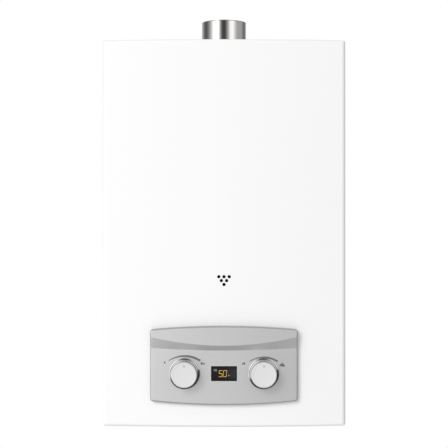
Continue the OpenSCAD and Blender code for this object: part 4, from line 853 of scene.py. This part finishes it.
def buildNumber():
    wide, tall, bar = display["wide"], display["tall"], display["bar"]
    spots = {  # centre x and z, length, and whether the bar stands up
        "a": (wide / 2, tall / 2 - bar / 2, wide, False), "d": (wide / 2, bar / 2 - tall / 2, wide, False),
        "g": (wide / 2, 0, wide, False), "b": (wide - bar / 2, tall / 4, tall / 2, True),
        "c": (wide - bar / 2, -tall / 4, tall / 2, True), "e": (bar / 2, -tall / 4, tall / 2, True),
        "f": (bar / 2, tall / 4, tall / 2, True)}
    bars = []
    for index, digit in enumerate(display["number"]):
        for letter in display["lit"][digit]:
            x, z, length, upright = spots[letter]
            x += display["firstX"] + index * display["pitch"]
            bars.append(buildBar(x, z + panel["knobZ"], length, upright))
    joined(bars, "displayDigits", "amberLight", "display_black", "root")


def buildDegree():
    degree = display["degree"]
    ring = turned(degree["profile"], (degree["x"], field, panel["knobZ"] - degree["down"]), 32)
    smooth(ring, 30)
    finishPiece(ring, "displayDegree", "displayMark", "display_black", "root")


def buildWaves():
    wave = display["waves"]
    pieces = []
    for row in range(wave["rows"]):
        lines = [[], []]
        for i in range(wave["steps"] + 1):
            swing = wave["swing"] * math.sin(i / wave["steps"] * 2 * wave["swings"] * math.pi)
            x = wave["x"] + i * wave["step"]
            z = panel["knobZ"] + wave["up"] - row * wave["apart"] + swing
            for line, half in zip(lines, (-wave["half"], wave["half"])):
                line.append((x, z + half))
        pieces.append(strip("wave", lines[0], lines[1], onField, wave["raised"]))
    joined(pieces, "displayWaves", "displayMark", "display_black", "root")


def buildTrim():
    wide, tall = panel["window"]
    trim = display["trim"]
    inner = [(-wide / 2, -tall / 2), (wide / 2, -tall / 2), (wide / 2, tall / 2), (-wide / 2, tall / 2)]
    outer = [(x + math.copysign(trim["wide"], x), z + math.copysign(trim["wide"], z)) for x, z in inner]
    points, faces = [], []
    for lift in (trim["proud"], -trim["sunk"]):
        for x, z in inner + outer:
            height = panel["knobZ"] + z
            points.append((x, panelFaceY(x, height - panel["middle"], lift), height))
    for i in range(4):
        j = (i + 1) % 4
        faces += [(i, j, 4 + j, 4 + i), (4 + i, 4 + j, 12 + j, 12 + i), (12 + i, 12 + j, 8 + j, 8 + i),
                  (8 + i, 8 + j, j, i)]
    ring = meshPiece("windowTrim", points, faces)
    faceOutwards(ring)
    roundEdges(ring, trim["rounding"], 2)
    smooth(ring, 40)
    finishPiece(ring, "windowTrim", "knobSilver", "knob_silver", "root")


buildWindow()
buildNumber()
buildDegree()
buildWaves()
buildTrim()

# what sits on the front of the display's board, in millimetres
board = {
    "front": -153.0, "rounding": 0.35,
    # name, centre x and z, width, height, depth and finish
    "parts": (("boardChip", -28.5, -169.8, 8.0, 8.0, 1.6, "blackPlastic"),
              ("boardChipSmall", 25.5, -187.8, 5.0, 4.0, 1.3, "blackPlastic"),
              ("boardPlug", 28.5, -169.6, 9.0, 6.0, 5.2, "creamPlastic"),
              ("boardRelay", -28.0, -190.0, 9.5, 7.0, 5.6, "windingTape")),
    # centre x and z, radius and height; the profile's radii are shares, its heights are from either end
    "cans": ((26.0, -193.4, 2.4, 5.4), (32.0, -193.4, 2.0, 4.6)),
    "canFoot": ((0.9, 0.0), (1, 0.2), (1, 0.9), (0.93, 1.1), (1, 1.35)),
    "canTop": ((1, -0.4), (0.9, 0.0), (0.8, -0.1)),
}


def dressBoard():
    for name, x, z, wide, tall, deep, finish in board["parts"]:
        size = (wide * mm, deep * mm, tall * mm)
        part = newCube((x * mm, (board["front"] - deep / 2) * mm, z * mm), size)
        roundEdges(part, board["rounding"] * mm, 2)
        smooth(part)
        finishPiece(part, name, finish, "circuit_board", "root")
    for index, (x, z, radius, tall) in enumerate(board["cans"]):
        profile = [(radius * share, up) for share, up in board["canFoot"]]
        profile += [(radius * share, tall + up) for share, up in board["canTop"]]
        can = turned(profile, (x * mm, board["front"] * mm, z * mm), 32)
        closeEnds(can)
        smooth(can)
        finishPiece(can, "boardCan" + str(index + 1), "windingTape", "circuit_board", "root")


dressBoard()
print("display built")

# threaded connections under the casing
stub = {
    "y": -60 * mm, "low": -264 * mm, "threadTop": -252 * mm, "top": -220 * mm, "outer": 10.48 * mm,
    "shank": 9.68 * mm, "mouth": 0.6 * mm, "bevel": 0.5 * mm, "relief": 0.4 * mm,
    # the thread: its root cylinder as a share of the depth, how fast a flank rises, how flat the valley is
    "depth": 0.92 * mm, "pitch": 1.814 * mm, "rootShare": 0.9, "flank": 3.2, "valley": 0.3,
    "around": 60, "perPitch": 8,
    # the nut's corners are cut back by a disc with bevelled edges
    "nut": {"low": -246 * mm, "tall": 8 * mm, "radius": 15 * mm, "discShare": 1.01, "bevelShare": 0.62,
            "slack": 0.02 * mm},
    "places": {"cold_inlet": (-50.7 * mm, 8.0 * mm), "gas_inlet": (50.7 * mm, 8.0 * mm),
               "hot_outlet": (-118 * mm, 5.5 * mm)},
}
stubRoot = stub["outer"] - stub["depth"] * stub["rootShare"]


def threadRadius(z, phase):
    low, high = stub["low"], stub["threadTop"]
    if not low < z < high:
        return stubRoot
    crest = min(1, max(0, stub["flank"] * (0.5 - abs(phase - 0.5)) - stub["valley"]))
    return min(stub["outer"] - stub["depth"] + stub["depth"] * crest, stubRoot + min(z - low, high - z))


def threadSleeve(name, x):
    # rows follow the helix, so that crest and root stay sharp, and are cut off level at both ends
    low, high, around, perPitch = stub["low"], stub["threadTop"], stub["around"], stub["perPitch"]
    rows = math.ceil((high - low) / stub["pitch"] * perPitch) + perPitch
    points, faces = [], []
    for j in range(-perPitch, rows + 1):
        for i in range(around):
            z = low + (j + perPitch * i / around) * stub["pitch"] / perPitch
            radius = threadRadius(z, (j % perPitch) / perPitch)
            angle = 2 * math.pi * i / around
            points.append((x + radius * math.cos(angle), stub["y"] + radius * math.sin(angle),
                           min(max(z, low), high)))
    lines = rows + perPitch + 1
    for j in range(lines - 1):
        for i in range(around):
            k = (i + 1) % around
            step = perPitch if k == 0 else 0  # one turn round, the next row is one pitch up
            if j + 1 + step < lines:
                faces.append((j * around + i, (j + step) * around + k, (j + 1 + step) * around + k,
                              (j + 1) * around + i))
    piece = meshPiece(name, points, faces)
    take(piece)
    bpy.ops.object.mode_set(mode="EDIT")
    bpy.ops.mesh.select_all(action="SELECT")
    bpy.ops.mesh.remove_doubles(threshold=touching)
    bpy.ops.mesh.dissolve_degenerate(threshold=touching / 10)
    bpy.ops.mesh.select_all(action="DESELECT")
    bpy.ops.object.mode_set(mode="OBJECT")
    return piece


def buildStub(node, x, bore):
    low, top, shank, bevel = stub["low"], stub["top"], stub["shank"], stub["bevel"]
    piece = threadSleeve(node, x)
    for edge in piece.data.edges:
        edge.select = all(abs(piece.data.vertices[i].co.z - low) < touching / 10 for i in edge.vertices)
    bpy.ops.object.mode_set(mode="EDIT")
    bpy.ops.mesh.select_mode(type="EDGE")
    # from the lower end through the bore, over the top and down the shank to the thread
    line = ((stubRoot, low), (bore + stub["mouth"], low), (bore, low + stub["mouth"]), (bore, top - bevel),
            (bore + bevel, top), (shank - bevel, top), (shank, top - bevel),
            (shank, stub["threadTop"] + stub["relief"]), (stubRoot, stub["threadTop"]))
    for (radius, z), (nextRadius, nextZ) in zip(line, line[1:]):
        bpy.ops.mesh.extrude_edges_move(TRANSFORM_OT_translate={"value": (0, 0, nextZ - z)})
        share = nextRadius / radius
        bpy.ops.transform.resize(value=(share, share, 1), center_override=(x, stub["y"], 0))
    faceOutwards(piece, 2 * touching)
    smooth(piece, 40)
    finishPiece(piece, node + "Threaded", "brass", "brass", "root", node)


def buildNut(node, x):
    nut = stub["nut"]
    radius, tall = nut["radius"], nut["tall"]
    middle = (x, stub["y"], nut["low"] + tall / 2)
    piece = newCylinder(middle, radius, tall, 6, (0, 0, math.radians(30)))
    disc = newCylinder(middle, radius * nut["discShare"], tall, 72)
    corner = radius * (1 - math.cos(math.radians(30)))
    roundEdges(disc, corner * nut["bevelShare"], 3)
    cut(piece, disc, "INTERSECT")
    cut(piece, newCylinder(middle, stub["shank"] + nut["slack"], tall * 2, 60))
    smooth(piece, 30)
    finishPiece(piece, node + "Nut", "brass", "brass", "root")


for node, (x, bore) in stub["places"].items():
    buildStub(node, x, bore)
    buildNut(node, x)
print("threaded stubs and nuts built")

# the spigot's rolled rim, coloured dull dark grey as painted shade along the top edge
rim = {"place": (0, -72 * mm, 284.35 * mm), "middle": 29.5 * mm, "bead": 0.6 * mm, "sides": 120}


def buildRim():
    deselectAll()
    bpy.ops.mesh.primitive_torus_add(major_radius=rim["middle"], minor_radius=rim["bead"],
                                     major_segments=rim["sides"], minor_segments=16,
                                     location=rim["place"])
    bead = bpy.context.object
    settle(bead)
    smooth(bead, 60)
    finishPiece(bead, "spigotRim", "rimShadeGrey", "polished_steel", "root")


buildRim()
print("spigot rim rolled")

# the push rod's return spring
spring = {"start": 2.17 * mm, "end": 18.03 * mm, "y": -60 * mm, "z": -180 * mm, "radius": 4.0 * mm,
          "wire": 0.5 * mm, "turns": 5, "sides": 28, "travel": 3.0 * mm}


def buildSpring():
    deselectAll()
    bpy.ops.mesh.primitive_circle_add(vertices=12, radius=spring["wire"], fill_type="NOTHING",
                                      location=(0, 0, spring["radius"]), rotation=facing)
    wire = bpy.context.object
    settle(wire)
    wire.location = (spring["start"], spring["y"], spring["z"])
    modify(wire, "SCREW", axis="X", angle=2 * math.pi, steps=spring["sides"], iterations=spring["turns"],
           screw_offset=(spring["end"] - spring["start"]) / spring["turns"])
    settle(wire)
    faceOutwards(wire, touching)
    closeEnds(wire)
    smooth(wire, 40)
    finishPiece(wire, "returnSpring", "polishedRod", "polished_steel", "root", "rod_spring")
    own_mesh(wire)


buildSpring()
print("return spring wound")

# cross-head screws of the casing
screw = {
    # from the shank's tip to the domed head
    "profile": ((0.2, -7.5), (1.62, -7.5), (1.62, 0.0), (3.7, 0.0), (3.7, 0.45), (3.58, 1.05), (3.2, 1.6),
                (2.5, 1.98), (1.5, 2.16), (0.6, 2.2)),
    "cross": {"long": 4.1 * mm, "deep": 1.15 * mm, "wide": 0.85 * mm, "front": 2.2 * mm, "tilt": 20},
    # four in the casing's sides and four in the flue's flange, each spun further than the last
    "side": {"x": 157.5 * mm, "y": -10 * mm, "z": 205 * mm, "spin": 37},
    "flue": {"spread": 34.6 * mm, "y": -72 * mm, "z": 252.5 * mm, "spin": 23},
}


def buildScrew():
    body = turned(screw["profile"], (0, 0, 0), 40)
    closeEnds(body)
    cross = screw["cross"]
    for turn in (0, 90):
        tilt = (0, math.radians(turn + cross["tilt"]), 0)
        cut(body, newCube((0, -cross["front"], 0), (cross["long"], 2 * cross["deep"], cross["wide"]), tilt))
    smooth(body)
    return body


def buildScrews():
    # one pattern, whose head faces front, is turned to each place
    pattern = buildScrew()
    side, flue = screw["side"], screw["flue"]
    corners = [(first, second) for first in (-1, 1) for second in (-1, 1)]
    spots = []
    for index, (way, up) in enumerate(corners):
        spots.append(((way * side["x"], side["y"], up * side["z"]), 90 * way, "Z", side["spin"] * index))
    for index, (way, back) in enumerate(corners):
        place = (way * flue["spread"], back * flue["spread"] + flue["y"], flue["z"])
        spots.append((place, -90, "X", flue["spin"] * index))
    screws = []
    for place, angle, axis, spin in spots:
        turn = Matrix.Rotation(math.radians(angle), 4, axis) @ Matrix.Rotation(math.radians(spin), 4, "Y")
        screws.append(copyPiece(pattern, Matrix.Translation(place) @ turn))
    bpy.data.objects.remove(pattern)
    joined(screws, "casingScrews", "polishedRod", "polished_steel", "root", "cover_screws")


buildScrews()
print("screws set")

print("scene done")
